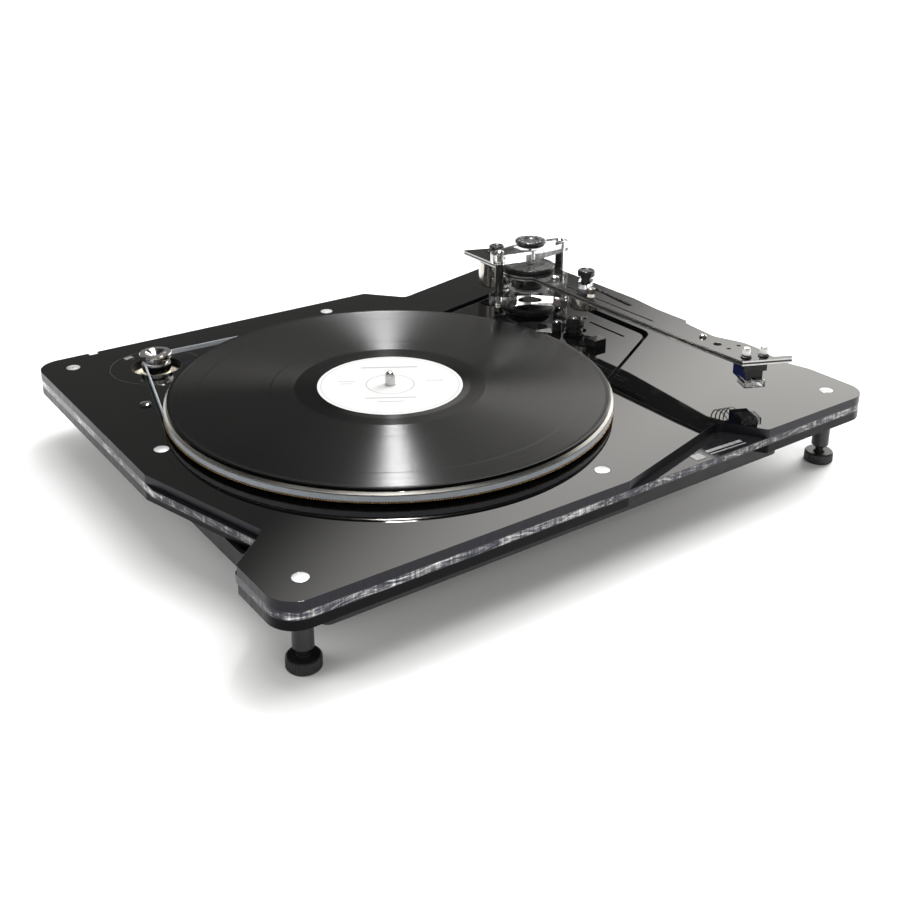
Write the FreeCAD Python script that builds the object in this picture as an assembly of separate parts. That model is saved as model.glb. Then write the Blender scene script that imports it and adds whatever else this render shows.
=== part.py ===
"""Belt-drive turntable record player: layered acrylic plinth, platter and gimballed tonearm.

Millimetres. X runs along the front edge, Y to the rear, Z up. The origin is on the table,
under the middle of the plinth. The tonearm is parked, pointing to the front.
"""
import FreeCAD, Part
import math
import os

# ---- plinth plan -------------------------------------------------------------
PLINTH_LENGTH = 464.0
PLINTH_WIDTH = 384.0
PLINTH_CORNER_R = 17.0
NOTCH_DEPTH = 28.0            # how far each edge notch cuts in
NOTCH_LONG = 100.0            # long shallow side of a notch, along the edge
NOTCH_SHORT = 24.0            # short steep side, along the edge
NOTCH_TIP_R = 6.0
NOTCH_MOUTH_R = 3.0
NOTCH_LEFT_AT = -18.0         # where the long side leaves each edge
NOTCH_FRONT_AT = 2.0
NOTCH_RIGHT_AT = -15.0        # where the short side meets the right edge
NOTCH_REAR_AT = 176.0
CLEAR_LAYER_PROUD = 3.0       # the clear layer's side notches are this much shallower
CABLE_NICK_X = -188.0
CABLE_NICK_WIDTH = 7.0
CABLE_NICK_DEPTH = 4.0

# ---- plinth heights ----------------------------------------------------------
TRAY_UNDERSIDE_Z = 25.5
TRAY_HEIGHT = 11.8
BLACK_PLATE_T = 6.0
CLEAR_PLATE_T = 5.2
BOTTOM_PLATE_Z = TRAY_UNDERSIDE_Z + TRAY_HEIGHT
CLEAR_PLATE_Z = BOTTOM_PLATE_Z + BLACK_PLATE_T
TOP_PLATE_Z = CLEAR_PLATE_Z + CLEAR_PLATE_T
DECK_Z = TOP_PLATE_Z + BLACK_PLATE_T

# ---- tray --------------------------------------------------------------------
TRAY_INSET_LEFT = 19.0
TRAY_INSET_FRONT = 12.0
TRAY_INSET_REAR = 12.0
TRAY_INSET_RIGHT = 77.0
TRAY_WALL = 3.0
TRAY_FLOOR = 2.5
TRAY_CORNER_R = 8.0
LEG_BITE_GAP = 2.0            # air between a leg and the bite round it
LEG_BITE_R = 1.5

# ---- bolts, legs and feet ----------------------------------------------------
CAP_R = 4.75
CAP_DEPTH = 2.0
CAP_DOME = 0.5
BOLT_R = 2.5
BOLT_INSET_X = 22.0
BOLT_INSET_Y = 20.5
BOLT_FRONT_X = -1.5            # middle bolt of the front edge
BOLT_REAR_X = 3.0
BOLT_LEFT_Y = 8.5
BOLT_RIGHT_Y = -8.5
BOLT_BITE = 1.8               # how far a bolt reaches into the bottom plate
LEG_R = 6.0
LEG_BEVEL = 1.5
LEG_SPIGOT = 3.8
FOOT_R = 10.0
FOOT_HEIGHT = 7.7
FOOT_GAP = 3.8                # between the knurled foot and its leg
FOOT_STUD_R = 2.75
FOOT_STUD_REACH = 16.0        # stud length inside the leg
FOOT_TEETH = 44
KNURL_DEPTH = 0.35
FOOT_EDGE = 0.9
FOOT_COLLAR = (1.2, 1.0)      # collar on the foot's stud, proud and high
SCREW_TEETH = 18              # knurl of the small thumbscrews

# ---- platter, record and bearing ---------------------------------------------
SPINDLE_X = -50.0
SPINDLE_Y = -8.5
PLATTER_R = 152.5
PLATTER_T = 6.8
PLATTER_GAP = 2.4             # air between platter and deck
RIM_BEVEL = 1.5
RIM_HEIGHT = 1.7
GROOVE_HEIGHT = 0.75
GROOVE_DEPTH = 1.6
TRACK_DEPTH = 1.3             # belt track, below the rim's radius
TRACK_HEIGHT = 3.45
MAT_MARGIN = 3.5              # rim left outside the mat
MAT_T = 1.5
RECORD_R = 150.8
RECORD_T = 1.8
RECORD_BEAD_R = 149.2          # inner edge of the raised rim
RECORD_GROOVE_R = 147.0
RECORD_DEAD_WAX_R = 55.0
RECORD_SINK = 0.2             # the groove area lies this much below rim and label
RECORD_HOLE_R = 3.625
RECORD_EDGE = 0.6             # bevel of the record's rim
LABEL_R = 50.0
LABEL_T = 0.12
LABEL_MARGIN = 0.5            # level vinyl round the label
SPINDLE_R = 3.575
SPINDLE_ABOVE_RECORD = 9.9
SPINDLE_NOSE = 3.4
SPINDLE_RELIEF_R = 3.2        # turned relief just below the record's face
SPINDLE_RELIEF = 0.8
SHAFT_R = 6.0
SHAFT_SHOULDER_R = 14.0
SHAFT_SHOULDER_T = 1.0
HOUSING_R = 20.0
HOUSING_FLANGE_R = 30.0
HOUSING_FLANGE_T = 1.0
HOUSING_FLOOR_Z = 30.0
HOUSING_FLOOR_T = 2.0
BUSH_R = 9.0
BALL_R = 3.0
BALL_SEAT = 0.8
PLATTER_EDGE = 0.6            # bevel of the platter's lower rim
RUNNING = 0.05                # radial clearance of a running fit
ASSEMBLY = 0.15               # clearance round a piece that drops into a hole
FACE_GAP = 0.02               # film between faces of pieces that move apart

# ---- motor, pulley and belt --------------------------------------------------
MOTOR_X = -159.0
MOTOR_Y = 139.2
MOTOR_PLATE_R = 33.0
MOTOR_WINDOW_R = 17.75
MOTOR_BODY_R = 27.0
MOTOR_FLOOR_Z = 31.0
MOTOR_SHAFT_R = 1.5
MOTOR_CASE_FLOOR = 2.0
MOTOR_SEAM_UP = 3.0           # seam groove above the motor's floor
MOTOR_SEAM = 1.0
PULLEY_STEP_33_R = 8.4
PULLEY_STEP_45_R = 11.2
PULLEY_FLANGE_R = 11.6
PULLEY_SKIRT_R = 10.4
PULLEY_DROP = 4.0             # how far the pulley reaches into the motor window
PULLEY_FLANGE_T = 0.9
PULLEY_DISH_R = 7.5
PULLEY_DISH_DEPTH = 2.5
PULLEY_EDGE = 0.4             # height of each bevel between the pulley's steps
PULLEY_HUB = 0.8              # flat round the shaft in the dish
BELT_T = 0.8
BELT_HEIGHT = 3.3
MARK_SIZE = 5.0
MARK_DEPTH = 0.4
MARK_AT = (-0.3, 0.85)        # middle of the mark's outer edge, in plate radii

# ---- speed button and electronics --------------------------------------------
BUTTON_X = -192.0
BUTTON_Y = 78.0
BUTTON_R = 3.75
BUTTON_PROUD = 2.2
BUTTON_DOME = 1.0
BUTTON_TRAVEL = 1.2
BUTTON_FLANGE_R = 5.0
BUTTON_FLANGE_T = 1.4
BUTTON_STEM_R = 1.5
SWITCH_SIZE = 6.0
SWITCH_HEIGHT = 3.5
BOARD_PCB_X = -161.0
BOARD_PCB_Y = 79.5
BOARD_PCB_LENGTH = 90.0
BOARD_PCB_WIDTH = 52.0
BOARD_PCB_T = 1.6
BOARD_PCB_STANDOFF = 2.2
PCB_CHIP = (12.0, 12.0, 1.4)
PCB_RELAY = (7.0, 9.0, 2.2)
PCB_CAPACITOR_R = 3.2
PCB_CAPACITOR_HEIGHT = 4.2
PCB_ROW_X = (14.0, 26.0)      # capacitor and relay columns
PCB_CAPACITOR_Y = -14.0
PCB_RELAY_Y = 12.0
PCB_POST_R = 2.6
PCB_POST_INSET = 5.0
INLET_X = -110.0
INLET_BODY = (14.0, 12.0, 9.0)
INLET_NOSE_R = 4.5
INLET_NOSE = 3.0
INLET_BORE_R = 3.2
INLET_BORE_DEPTH = 9.0
INLET_PIN_R = 1.0
SOCKET_X = 60.0
SOCKET_PITCH = 20.0
SOCKET_BARREL_R = 4.15
SOCKET_BARREL = 8.0
SOCKET_NUT_R = 4.6
SOCKET_NUT_T = 2.0
SOCKET_TAIL_R = 3.0
SOCKET_TAIL = 8.0
SOCKET_BORE_R = 1.6

# ---- inner board -------------------------------------------------------------
BOARD_RIGHT_X = 180.0
BOARD_RIGHT_FRONT = -11.5     # right edge's ends, from the spindle
BOARD_RIGHT_REAR = 141.0
BOARD_FRONT = (84.0, -96.0)   # the other corners, from the spindle
BOARD_FRONT_LEFT = (-55.0, -62.0)
BOARD_REAR_LEFT = (-62.0, 56.0)
BOARD_REAR = (60.0, 99.0)
BOARD_BEND_R = 20.0
BOARD_END_R = 25.0
BOARD_CORNER_R = 12.0
GAP_RIGHT = 8.5
GAP_REAR = 7.0
GAP_FRONT = 2.8
GAP_HIDDEN = 4.0
BOARD_SLOT_X = 165.0
BOARD_SLOT_Y = (-11.5, 26.5)
BOARD_SLOT_WIDTH = 2.5
ISOLATOR_R = 8.0
ISOLATOR_WAIST = 0.8          # share of the radius left at mid height
ISOLATOR_SPOTS = ((172.0, -16.0), (206.0, 118.0), (66.0, -72.0), (64.0, 76.0), (-38.0, 22.0))

# ---- tonearm: pivot, bridge and gimbal ---------------------------------------
PIVOT_X = 150.0
PIVOT_Y = 87.5
COLUMN_FLANGE_R = 22.0
COLUMN_FLANGE_T = 2.5
COLUMN_R = 12.0
COLUMN_HEIGHT = 7.5           # flange and column together, above the deck
COLUMN_SPIGOT_R = 8.0
NUT_RADIUS_AT = 19.0
NUT_ANGLE = -35.5
NUT_R = 2.8
NUT_T = 4.5
BRIDGE_REACH = 32.0           # pivot to each post
BRIDGE_LOWER_T = 8.4
BRIDGE_UPPER_T = 7.8
LOBE_R = 8.0
LOWER_HUB_R = 19.0
UPPER_HUB_R = 13.0
FRONT_LOBE = (10.0, -27.0)
POST_R = 3.5
POST_HEIGHT = 27.8
BRIDGE_SCREW_R = 2.0
BRIDGE_HEAD_R = 3.6
BRIDGE_HEAD_T = 2.4
POST_THREAD = 4.5             # how far each bridge screw enters its post
KNOB_R = 12.75
KNOB_HEIGHT = 6.0
DIMPLES = 6
DIMPLE_R = 0.9
DIMPLE_DEPTH = 0.8
DIMPLE_AT = 0.76              # dimple circle as a share of the knob's radius
PIN_PROUD = 1.0               # pivot pin above the upper bridge plate
SEAT_R = 17.0
SEAT_T = 1.0
PIN_R = 1.5
YAW_BLOCK_R = 12.0
YAW_BLOCK_T = 10.5
PIN_SEAT = 0.5                # yaw block left under the pin
GIMBAL_PIN_R = 1.5
GIMBAL_AXIS_UP = 6.0          # gimbal axis above the yaw block's foot
GIMBAL_INNER = 4.0
YOKE_INNER = 12.9
YOKE_EAR_T = 2.6
YOKE_EAR_WIDTH = 9.0
YOKE_RING_R = 17.0
YOKE_RING_T = 1.2

# ---- tonearm: beam -----------------------------------------------------------
BEAM_CLEARANCE = 1.95         # yaw block's top to the beam
SKIN_T = 1.2
CORE_T = 1.2
CORE_INSET = 0.35
BEAM_LENGTH = 246.0           # pivot to the headshell's front
BEAM_LOBE_R = 25.5
BEAM_NEAR_X = -14.0
BEAM_FAR_X = 18.0
TAIL_LENGTH = 72.0
PIN_WINDOW_R = 2.6            # room for the pivot pin as the beam tilts
HUB_DISC_R = 20.7
HUB_DISC_T = 3.5
HUB_RECESS = 0.3              # shallow recess inside the hub disc's rim
HEAD_ANGLE = -24.0            # offset of the cartridge
HEAD_START = (2.0, 3.5)       # headshell's near corner, from the beam's near edge and end
FINGER_REACH = 37.5           # finger lift's tip, along the headshell's front edge
FINGER_WIDTH = 4.0
FINGER_ROOT = 24.0
NECK_X = 15.5                 # headshell's far side
NECK_BACK = (14.0, 27.0)      # where it starts and ends, behind the beam's front
WAIST_X = 7.5                 # narrowest place behind the headshell
WAIST_BACK = 48.0
BEAM_WIDE_Y = -106.0          # where the beam reaches its full width
LOBE_BLEND_Y = 20.0           # where the round lobe meets the tail
TAIL_X = (-16.5, 13.0)        # tail's two sides at its end
TAIL_SKEW = 11.0              # how much shorter the tail's far side is
BALANCE_SLOT_WIDTH = 5.0
SLIM_SLOT_WIDTH = 1.8
SLIM_SLOT_X = -6.5
SLIM_SLOT_Y = (-55.0, -151.0)
BEAM_SCREWS = ((-0.5, -33.0, 3.2), (0.0, -195.0, 2.6))      # place and head radius
HUB_SCREW = (10.5, 8.0, 2.2)
THUMBSCREW = (-7.0, -84.0)
THUMBSCREW_R = 3.3
THUMBSCREW_BASE = 2.6         # height of the cone under its head
THUMBSCREW_HEAD = 4.4
SCREW_HEAD_T = 1.0
SCREW_DOME = 1.4
SCREW_SOCKET = 0.4            # socket radius as a share of the head's
FINGER_HOLE = (-2.0, 35.5, 3.0)                             # across, back and radius
LEAD_HOLES = ((-2.0, 25.0), (8.0, 25.0), (3.0, 15.5))       # across and back
LEAD_HOLE_R = 1.5

# ---- tonearm: weights and fittings -------------------------------------------
WEIGHT_AT = (-1.0, 44.0)
WEIGHT_R = 15.0
WEIGHT_HEIGHT = 21.6
WEIGHT_TRAVEL = 12.0
WEIGHT_SCREW_R = 2.1
WEIGHT_SCREW_HEAD_R = 2.6
WEIGHT_SCREW_ANGLE = 235.0
WEIGHT_KNOB_R = 6.5
TRIM_AT = (9.0, -60.0)
TRIM_R = 12.5
TRIM_HEIGHT = 14.9
TRIM_TRAVEL = 55.0
TRIM_ANGLE = 5.13             # balance slot, off the beam's line
TRIM_KNOB_R = 6.9
TRIM_PLATE_T = 3.6
TRIM_PLATE_HUB_R = 5.5
TRIM_PLATE_LOBE_R = 4.2
TRIM_PLATE_LOBES = ((-6.5, -5.0), (8.0, 6.0))
KNOB_STEM_R = 2.0
SMALL_KNOB_T = 9.0
SHANK_R = 1.2

# ---- cartridge ---------------------------------------------------------------
CARTRIDGE_WIDTH = 17.0
CARTRIDGE_LENGTH = 22.0
CARTRIDGE_SHOULDER = 6.5      # height of its wider upper part
CARTRIDGE_LOWER_WIDTH = 13.0
CARTRIDGE_STEP = 1.5
STYLUS_RECESS = 3.0
CARTRIDGE_SETBACK = 4.5       # behind the headshell's front edge
CARTRIDGE_CLEARANCE = 3.1     # its body above the record when parked
CARTRIDGE_SCREW_PITCH = 12.7
CARTRIDGE_SCREW_R = 1.2
CARTRIDGE_SCREW_BACK = 7.0    # behind the headshell's front edge
CARTRIDGE_HEAD_R = 2.6
CARTRIDGE_HEAD_T = 6.0
STYLUS_CLEARANCE = 0.6        # stylus and guard above the record when parked
CANTILEVER_R = 0.3
STYLUS_BACK = 1.2             # stylus behind the cartridge's front
STYLUS_HEIGHT = 0.5
GUARD_WALL = 0.9
GUARD_FLOOR = 0.4
GUARD_HEIGHT = 5.0
GUARD_LENGTH = 12.0
GUARD_PROUD = 1.6             # how far the guard sticks out in front
GUARD_WINDOW = 2.0
LEAD_R = 0.45
LEADS = 4
LEAD_PITCH = 3.0
LEAD_DROP = 4.5               # lead pins below the beam
LEAD_BEND = 2.0
LEAD_RUN = 5.0

# ---- cueing ------------------------------------------------------------------
CUE_X = 142.0
CUE_Y = 20.5
CUE_R = 6.25
CUE_HEIGHT = 10.4
CUE_BASE = (0.8, 1.2)         # base ring, proud and high
CUE_FLOOR = 2.0
CUE_COLLAR_R = 8.4
CUE_COLLAR_T = 2.6
CUE_COLLAR_UP = 4.2
CUE_LEVER_ANGLE = 22.0
CUE_LEVER_LENGTH = 17.0
CUE_LEVER_R = 1.1
CUE_RING_R = 2.8
CUE_RING_WIRE_R = 0.9
CUE_PLUNGER_R = 2.4
CUE_PLUNGER_DOME = 0.5
CUE_POST_X = 132.0
CUE_POST_Y = 29.5
CUE_POST_R = 3.75
CUE_POST_HEIGHT = 8.0
CUE_POST_DOME = 1.8
BLOCK_X = 135.0
BLOCK_Y = -14.5
BLOCK_SIZE = (12.0, 9.0, 6.0)
BLOCK_EDGE_R = 1.2

# ---- heights that follow from the above --------------------------------------
PLATTER_Z = DECK_Z + PLATTER_GAP
PLATTER_TOP_Z = PLATTER_Z + PLATTER_T
RECORD_TOP_Z = PLATTER_TOP_Z + RECORD_T
RIM_Z = PLATTER_TOP_Z - RIM_HEIGHT
TRACK_TOP_Z = RIM_Z - GROOVE_HEIGHT
TRACK_Z = TRACK_TOP_Z - TRACK_HEIGHT
TRACK_R = PLATTER_R - TRACK_DEPTH
MAT_R = PLATTER_R - MAT_MARGIN
BELT_Z = TRACK_Z + (TRACK_HEIGHT - BELT_HEIGHT) / 2
LEG_BOTTOM_Z = FOOT_HEIGHT + FOOT_GAP
LOWER_BRIDGE_Z = DECK_Z + COLUMN_HEIGHT
POST_Z = LOWER_BRIDGE_Z + BRIDGE_LOWER_T
UPPER_BRIDGE_Z = POST_Z + POST_HEIGHT
BRIDGE_TOP_Z = UPPER_BRIDGE_Z + BRIDGE_UPPER_T
YAW_Z = POST_Z + SEAT_T + RUNNING
GIMBAL_Z = YAW_Z + GIMBAL_AXIS_UP
BEAM_UNDERSIDE_Z = YAW_Z + YAW_BLOCK_T + BEAM_CLEARANCE
CORE_Z = BEAM_UNDERSIDE_Z + SKIN_T
UPPER_SKIN_Z = CORE_Z + CORE_T
BEAM_TOP_Z = UPPER_SKIN_Z + SKIN_T
CARTRIDGE_BOTTOM_Z = RECORD_TOP_Z + CARTRIDGE_CLEARANCE
HALF_L = PLINTH_LENGTH / 2
HALF_W = PLINTH_WIDTH / 2
THROUGH = 1.0                 # how far a cutter runs past a face


# ---- shape helpers -----------------------------------------------------------
def vec(x, y, z=0.0):
    return FreeCAD.Vector(x, y, z)


def disc(x, y, radius, low, high):
    return Part.makeCylinder(radius, high - low, vec(x, y, low))


def tube(x, y, outer, inner, low, high):
    return disc(x, y, outer, low, high).cut(disc(x, y, inner, low - THROUGH, high + THROUGH))


def block(x, y, low, size):
    """Box of the given size, centred on x and y, standing on low."""
    corner = vec(x - size[0] / 2, y - size[1] / 2, low)
    return Part.makeBox(size[0], size[1], size[2], corner)


def turned(x, y, profile):
    """Solid of revolution about the upright line at x, y; profile holds (radius, height)."""
    points = [vec(x + radius, y, height) for radius, height in profile]
    face = Part.Face(Part.makePolygon(points + points[:1]))
    return face.revolve(vec(x, y), vec(0, 0, 1), 360)


def rounded_loop(corners):
    """Closed wire through corners (x, y, radius); each radius becomes a tangent arc."""
    legs = []
    for index, (x, y, radius) in enumerate(corners):
        here = vec(x, y)
        before = vec(*corners[index - 1][:2])
        after = vec(*corners[(index + 1) % len(corners)][:2])
        back = (before - here).normalize()
        ahead = (after - here).normalize()
        half = back.getAngle(ahead) / 2
        reach = radius / math.tan(half)
        middle = (back + ahead).normalize() * (radius / math.sin(half) - radius)
        legs.append((here + back * reach, here + middle, here + ahead * reach, radius))
    edges = []
    for index, (start, middle, end, radius) in enumerate(legs):
        if radius > 0:
            edges.append(Part.Arc(start, middle, end).toShape())
        following = legs[(index + 1) % len(legs)][0]
        if (following - end).Length > 1e-6:
            edges.append(Part.LineSegment(end, following).toShape())
    return Part.Wire(edges)


def prism(loop, low, high):
    face = Part.Face(loop)
    face.translate(vec(0, 0, low))
    return face.extrude(vec(0, 0, high - low))


def widened(corners, gaps):
    """Corners of an anticlockwise outline with edge i moved out by gaps[i]."""
    lines = []
    for index, (x, y, _) in enumerate(corners):
        after = corners[(index + 1) % len(corners)]
        along = (vec(*after[:2]) - vec(x, y)).normalize()
        outward = vec(along.y, -along.x)
        lines.append((vec(x, y) + outward * gaps[index], along))
    result = []
    for index, (_, _, radius) in enumerate(corners):
        start, along = lines[index - 1]
        other, across = lines[index]
        turn = along.x * across.y - along.y * across.x
        step = ((other.x - start.x) * across.y - (other.y - start.y) * across.x) / turn
        meet = start + along * step
        result.append((meet.x, meet.y, radius + min(gaps[index - 1], gaps[index])))
    return result


def link_loop(first, first_r, second, second_r):
    """Wire round two circles and their outer tangents."""
    apart = math.dist(first, second)
    heading = math.atan2(second[1] - first[1], second[0] - first[0])
    spread = math.acos((first_r - second_r) / apart)

    def on(centre, radius, angle):
        return vec(centre[0] + radius * math.cos(angle), centre[1] + radius * math.sin(angle))

    first_arc = [on(first, first_r, heading + turn) for turn in (spread, math.pi, -spread)]
    second_arc = [on(second, second_r, heading + turn) for turn in (-spread, 0, spread)]
    return Part.Wire([
        Part.Arc(*first_arc).toShape(),
        Part.LineSegment(first_arc[2], second_arc[0]).toShape(),
        Part.Arc(*second_arc).toShape(),
        Part.LineSegment(second_arc[2], first_arc[0]).toShape(),
    ])


def slot(start, end, width, low, high):
    return prism(link_loop(start, width / 2, end, width / 2), low, high)


def knurled(x, y, radius, low, high, teeth, bevel):
    """Straight-knurled disc with bevelled edges."""
    points = []
    for step in range(2 * teeth):
        angle = math.pi * step / teeth
        reach = radius - KNURL_DEPTH * (step % 2)
        points.append(vec(x + reach * math.cos(angle), y + reach * math.sin(angle)))
    body = prism(Part.makePolygon(points + points[:1]), low, high)
    envelope = turned(x, y, [
        (0, low), (radius - bevel, low), (radius, low + bevel),
        (radius, high - bevel), (radius - bevel, high), (0, high),
    ])
    return body.common(envelope)


def dome(x, y, radius, low, rise):
    """Shallow spherical cap."""
    sphere_r = (radius * radius + rise * rise) / (2 * rise)
    ball = Part.makeSphere(sphere_r, vec(x, y, low + rise - sphere_r))
    return ball.common(disc(x, y, radius, low, low + rise))


def bent_tube(points, radius, bend):
    """Round tube along straight runs that meet in tangent arcs."""
    corners = [vec(*point) for point in points]
    edges = []
    start = corners[0]
    for before, here, after in zip(corners, corners[1:], corners[2:]):
        back = (before - here).normalize()
        ahead = (after - here).normalize()
        half = back.getAngle(ahead) / 2
        reach = bend / math.tan(half)
        middle = (back + ahead).normalize() * (bend / math.sin(half) - bend)
        edges.append(Part.LineSegment(start, here + back * reach).toShape())
        arc = Part.Arc(here + back * reach, here + middle, here + ahead * reach)
        edges.append(arc.toShape())
        start = here + ahead * reach
    edges.append(Part.LineSegment(start, corners[-1]).toShape())
    path = Part.Wire(edges)
    ring = Part.Wire(Part.makeCircle(radius, corners[0], corners[1] - corners[0]))
    return path.makePipeShell([ring], True, False)


def from_spindle(x, y):
    return SPINDLE_X + x, SPINDLE_Y + y


def from_pivot(x, y):
    return PIVOT_X + x, PIVOT_Y + y


# ---- plinth outlines ---------------------------------------------------------
def plate_corners(side_depth, front_depth):
    """Anticlockwise plinth outline; each edge has one long, shallow notch."""
    side_long = NOTCH_LONG * side_depth / NOTCH_DEPTH
    side_short = NOTCH_SHORT * side_depth / NOTCH_DEPTH
    slack_long = NOTCH_LONG - side_long
    corners = [(-HALF_L, -HALF_W, PLINTH_CORNER_R)]
    if front_depth > 0:
        tip_x = NOTCH_FRONT_AT + NOTCH_LONG + NOTCH_SHORT / 4
        corners += [
            (NOTCH_FRONT_AT, -HALF_W, NOTCH_MOUTH_R),
            (tip_x, -HALF_W + front_depth, NOTCH_TIP_R),
            (tip_x + NOTCH_SHORT * 0.75, -HALF_W, NOTCH_MOUTH_R),
        ]
    corners += [
        (HALF_L, -HALF_W, PLINTH_CORNER_R),
        (HALF_L, NOTCH_RIGHT_AT - NOTCH_SHORT - NOTCH_LONG + slack_long, NOTCH_MOUTH_R),
        (HALF_L - side_depth, NOTCH_RIGHT_AT - side_short, NOTCH_TIP_R),
        (HALF_L, NOTCH_RIGHT_AT, NOTCH_MOUTH_R),
        (HALF_L, HALF_W, PLINTH_CORNER_R),
        (NOTCH_REAR_AT - slack_long, HALF_W, NOTCH_MOUTH_R),
        (NOTCH_REAR_AT - NOTCH_LONG, HALF_W - side_depth, NOTCH_TIP_R),
        (NOTCH_REAR_AT - NOTCH_LONG - side_short, HALF_W, NOTCH_MOUTH_R),
        (-HALF_L, HALF_W, PLINTH_CORNER_R),
        (-HALF_L, NOTCH_LEFT_AT - slack_long, NOTCH_MOUTH_R),
        (-HALF_L + side_depth, NOTCH_LEFT_AT - NOTCH_LONG, NOTCH_TIP_R),
        (-HALF_L, NOTCH_LEFT_AT - NOTCH_LONG - side_short, NOTCH_MOUTH_R),
    ]
    return corners


def board_corners():
    """Anticlockwise outline of the inner board, bearing end under the platter."""
    return [
        (*from_spindle(*BOARD_FRONT_LEFT), BOARD_END_R),
        (*from_spindle(*BOARD_FRONT), BOARD_BEND_R),
        (BOARD_RIGHT_X, SPINDLE_Y + BOARD_RIGHT_FRONT, BOARD_CORNER_R),
        (BOARD_RIGHT_X, SPINDLE_Y + BOARD_RIGHT_REAR, BOARD_CORNER_R),
        (*from_spindle(*BOARD_REAR), BOARD_BEND_R),
        (*from_spindle(*BOARD_REAR_LEFT), BOARD_END_R),
    ]


def opening_corners():
    gaps = [GAP_HIDDEN, GAP_FRONT, GAP_RIGHT, GAP_REAR, GAP_HIDDEN, GAP_HIDDEN]
    return widened(board_corners(), gaps)


def bolt_places():
    left = -HALF_L + BOLT_INSET_X
    right = HALF_L - BOLT_INSET_X
    front = -HALF_W + BOLT_INSET_Y
    rear = HALF_W - BOLT_INSET_Y
    return [
        (left, rear), (left, BOLT_LEFT_Y), (left, front), (BOLT_FRONT_X, front),
        (BOLT_REAR_X, rear), (right, front), (right, BOLT_RIGHT_Y), (right, rear),
    ]


def leg_places():
    places = bolt_places()
    return {"left": places[2], "right": places[5], "rear": places[4]}


def isolator_places():
    return [from_spindle(x, y) for x, y in ISOLATOR_SPOTS]


# ---- plinth pieces -----------------------------------------------------------
def cable_nick(low, high):
    size = (CABLE_NICK_WIDTH, 2 * CABLE_NICK_DEPTH, high - low)
    return block(CABLE_NICK_X, HALF_W, low, size)


def bolt_holes(low, high):
    radius = BOLT_R + ASSEMBLY
    return [disc(x, y, radius, low, high) for x, y in bolt_places()]


def top_plate():
    low = TOP_PLATE_Z
    plate = prism(rounded_loop(plate_corners(NOTCH_DEPTH, NOTCH_DEPTH)), low, DECK_Z)
    cuts = [prism(rounded_loop(opening_corners()), low - THROUGH, DECK_Z + THROUGH)]
    cuts.append(disc(MOTOR_X, MOTOR_Y, MOTOR_PLATE_R + ASSEMBLY, low - THROUGH, DECK_Z + THROUGH))
    cuts.append(disc(BUTTON_X, BUTTON_Y, BUTTON_R + RUNNING, low - THROUGH, DECK_Z + THROUGH))
    cuts.append(cable_nick(low - THROUGH, DECK_Z + THROUGH))
    cuts += bolt_holes(low - THROUGH, DECK_Z + THROUGH)
    cuts += [disc(x, y, CAP_R + ASSEMBLY, DECK_Z - CAP_DEPTH, DECK_Z + THROUGH)
             for x, y in bolt_places()]
    return plate.cut(cuts)


def clear_layer():
    low = CLEAR_PLATE_Z
    side_depth = NOTCH_DEPTH - CLEAR_LAYER_PROUD
    plate = prism(rounded_loop(plate_corners(side_depth, 0)), low, TOP_PLATE_Z)
    cuts = [prism(rounded_loop(opening_corners()), low - THROUGH, TOP_PLATE_Z + THROUGH)]
    motor_r = MOTOR_BODY_R + ASSEMBLY
    cuts.append(disc(MOTOR_X, MOTOR_Y, motor_r, low - THROUGH, TOP_PLATE_Z + THROUGH))
    flange_r = BUTTON_FLANGE_R + ASSEMBLY
    cuts.append(disc(BUTTON_X, BUTTON_Y, flange_r, low - THROUGH, TOP_PLATE_Z + THROUGH))
    cuts += bolt_holes(low - THROUGH, TOP_PLATE_Z + THROUGH)
    return plate.cut(cuts)


def bottom_plate():
    low = BOTTOM_PLATE_Z
    plate = prism(rounded_loop(plate_corners(NOTCH_DEPTH, NOTCH_DEPTH)), low, CLEAR_PLATE_Z)
    cuts = [cable_nick(low - THROUGH, CLEAR_PLATE_Z + THROUGH)]
    for x, y, radius in (
            (MOTOR_X, MOTOR_Y, MOTOR_BODY_R + ASSEMBLY),
            (SPINDLE_X, SPINDLE_Y, HOUSING_R + 2 * ASSEMBLY),
            (BUTTON_X, BUTTON_Y, BUTTON_STEM_R + ASSEMBLY)):
        cuts.append(disc(x, y, radius, low - THROUGH, CLEAR_PLATE_Z + THROUGH))
    cuts += bolt_holes(CLEAR_PLATE_Z - BOLT_BITE, CLEAR_PLATE_Z + THROUGH)
    spigot_top = low + LEG_SPIGOT + ASSEMBLY
    cuts += [disc(x, y, BOLT_R + RUNNING, low - THROUGH, spigot_top)
             for x, y in leg_places().values()]
    return plate.cut(cuts)


def inner_board():
    low = TOP_PLATE_Z
    board = prism(rounded_loop(board_corners()), low, DECK_Z)
    start = (BOARD_SLOT_X, BOARD_SLOT_Y[0])
    end = (BOARD_SLOT_X, BOARD_SLOT_Y[1])
    cuts = [
        disc(SPINDLE_X, SPINDLE_Y, HOUSING_R, low - THROUGH, DECK_Z + THROUGH),
        disc(PIVOT_X, PIVOT_Y, COLUMN_SPIGOT_R + RUNNING, low - THROUGH, DECK_Z + THROUGH),
        slot(start, end, BOARD_SLOT_WIDTH, low - THROUGH, DECK_Z + THROUGH),
    ]
    return board.cut(cuts)


def board_isolators():
    return Part.makeCompound([
        turned(x, y, [
            (0, CLEAR_PLATE_Z), (ISOLATOR_R, CLEAR_PLATE_Z),
            (ISOLATOR_R * ISOLATOR_WAIST, (CLEAR_PLATE_Z + TOP_PLATE_Z) / 2),
            (ISOLATOR_R, TOP_PLATE_Z), (0, TOP_PLATE_Z),
        ])
        for x, y in isolator_places()])


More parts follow.
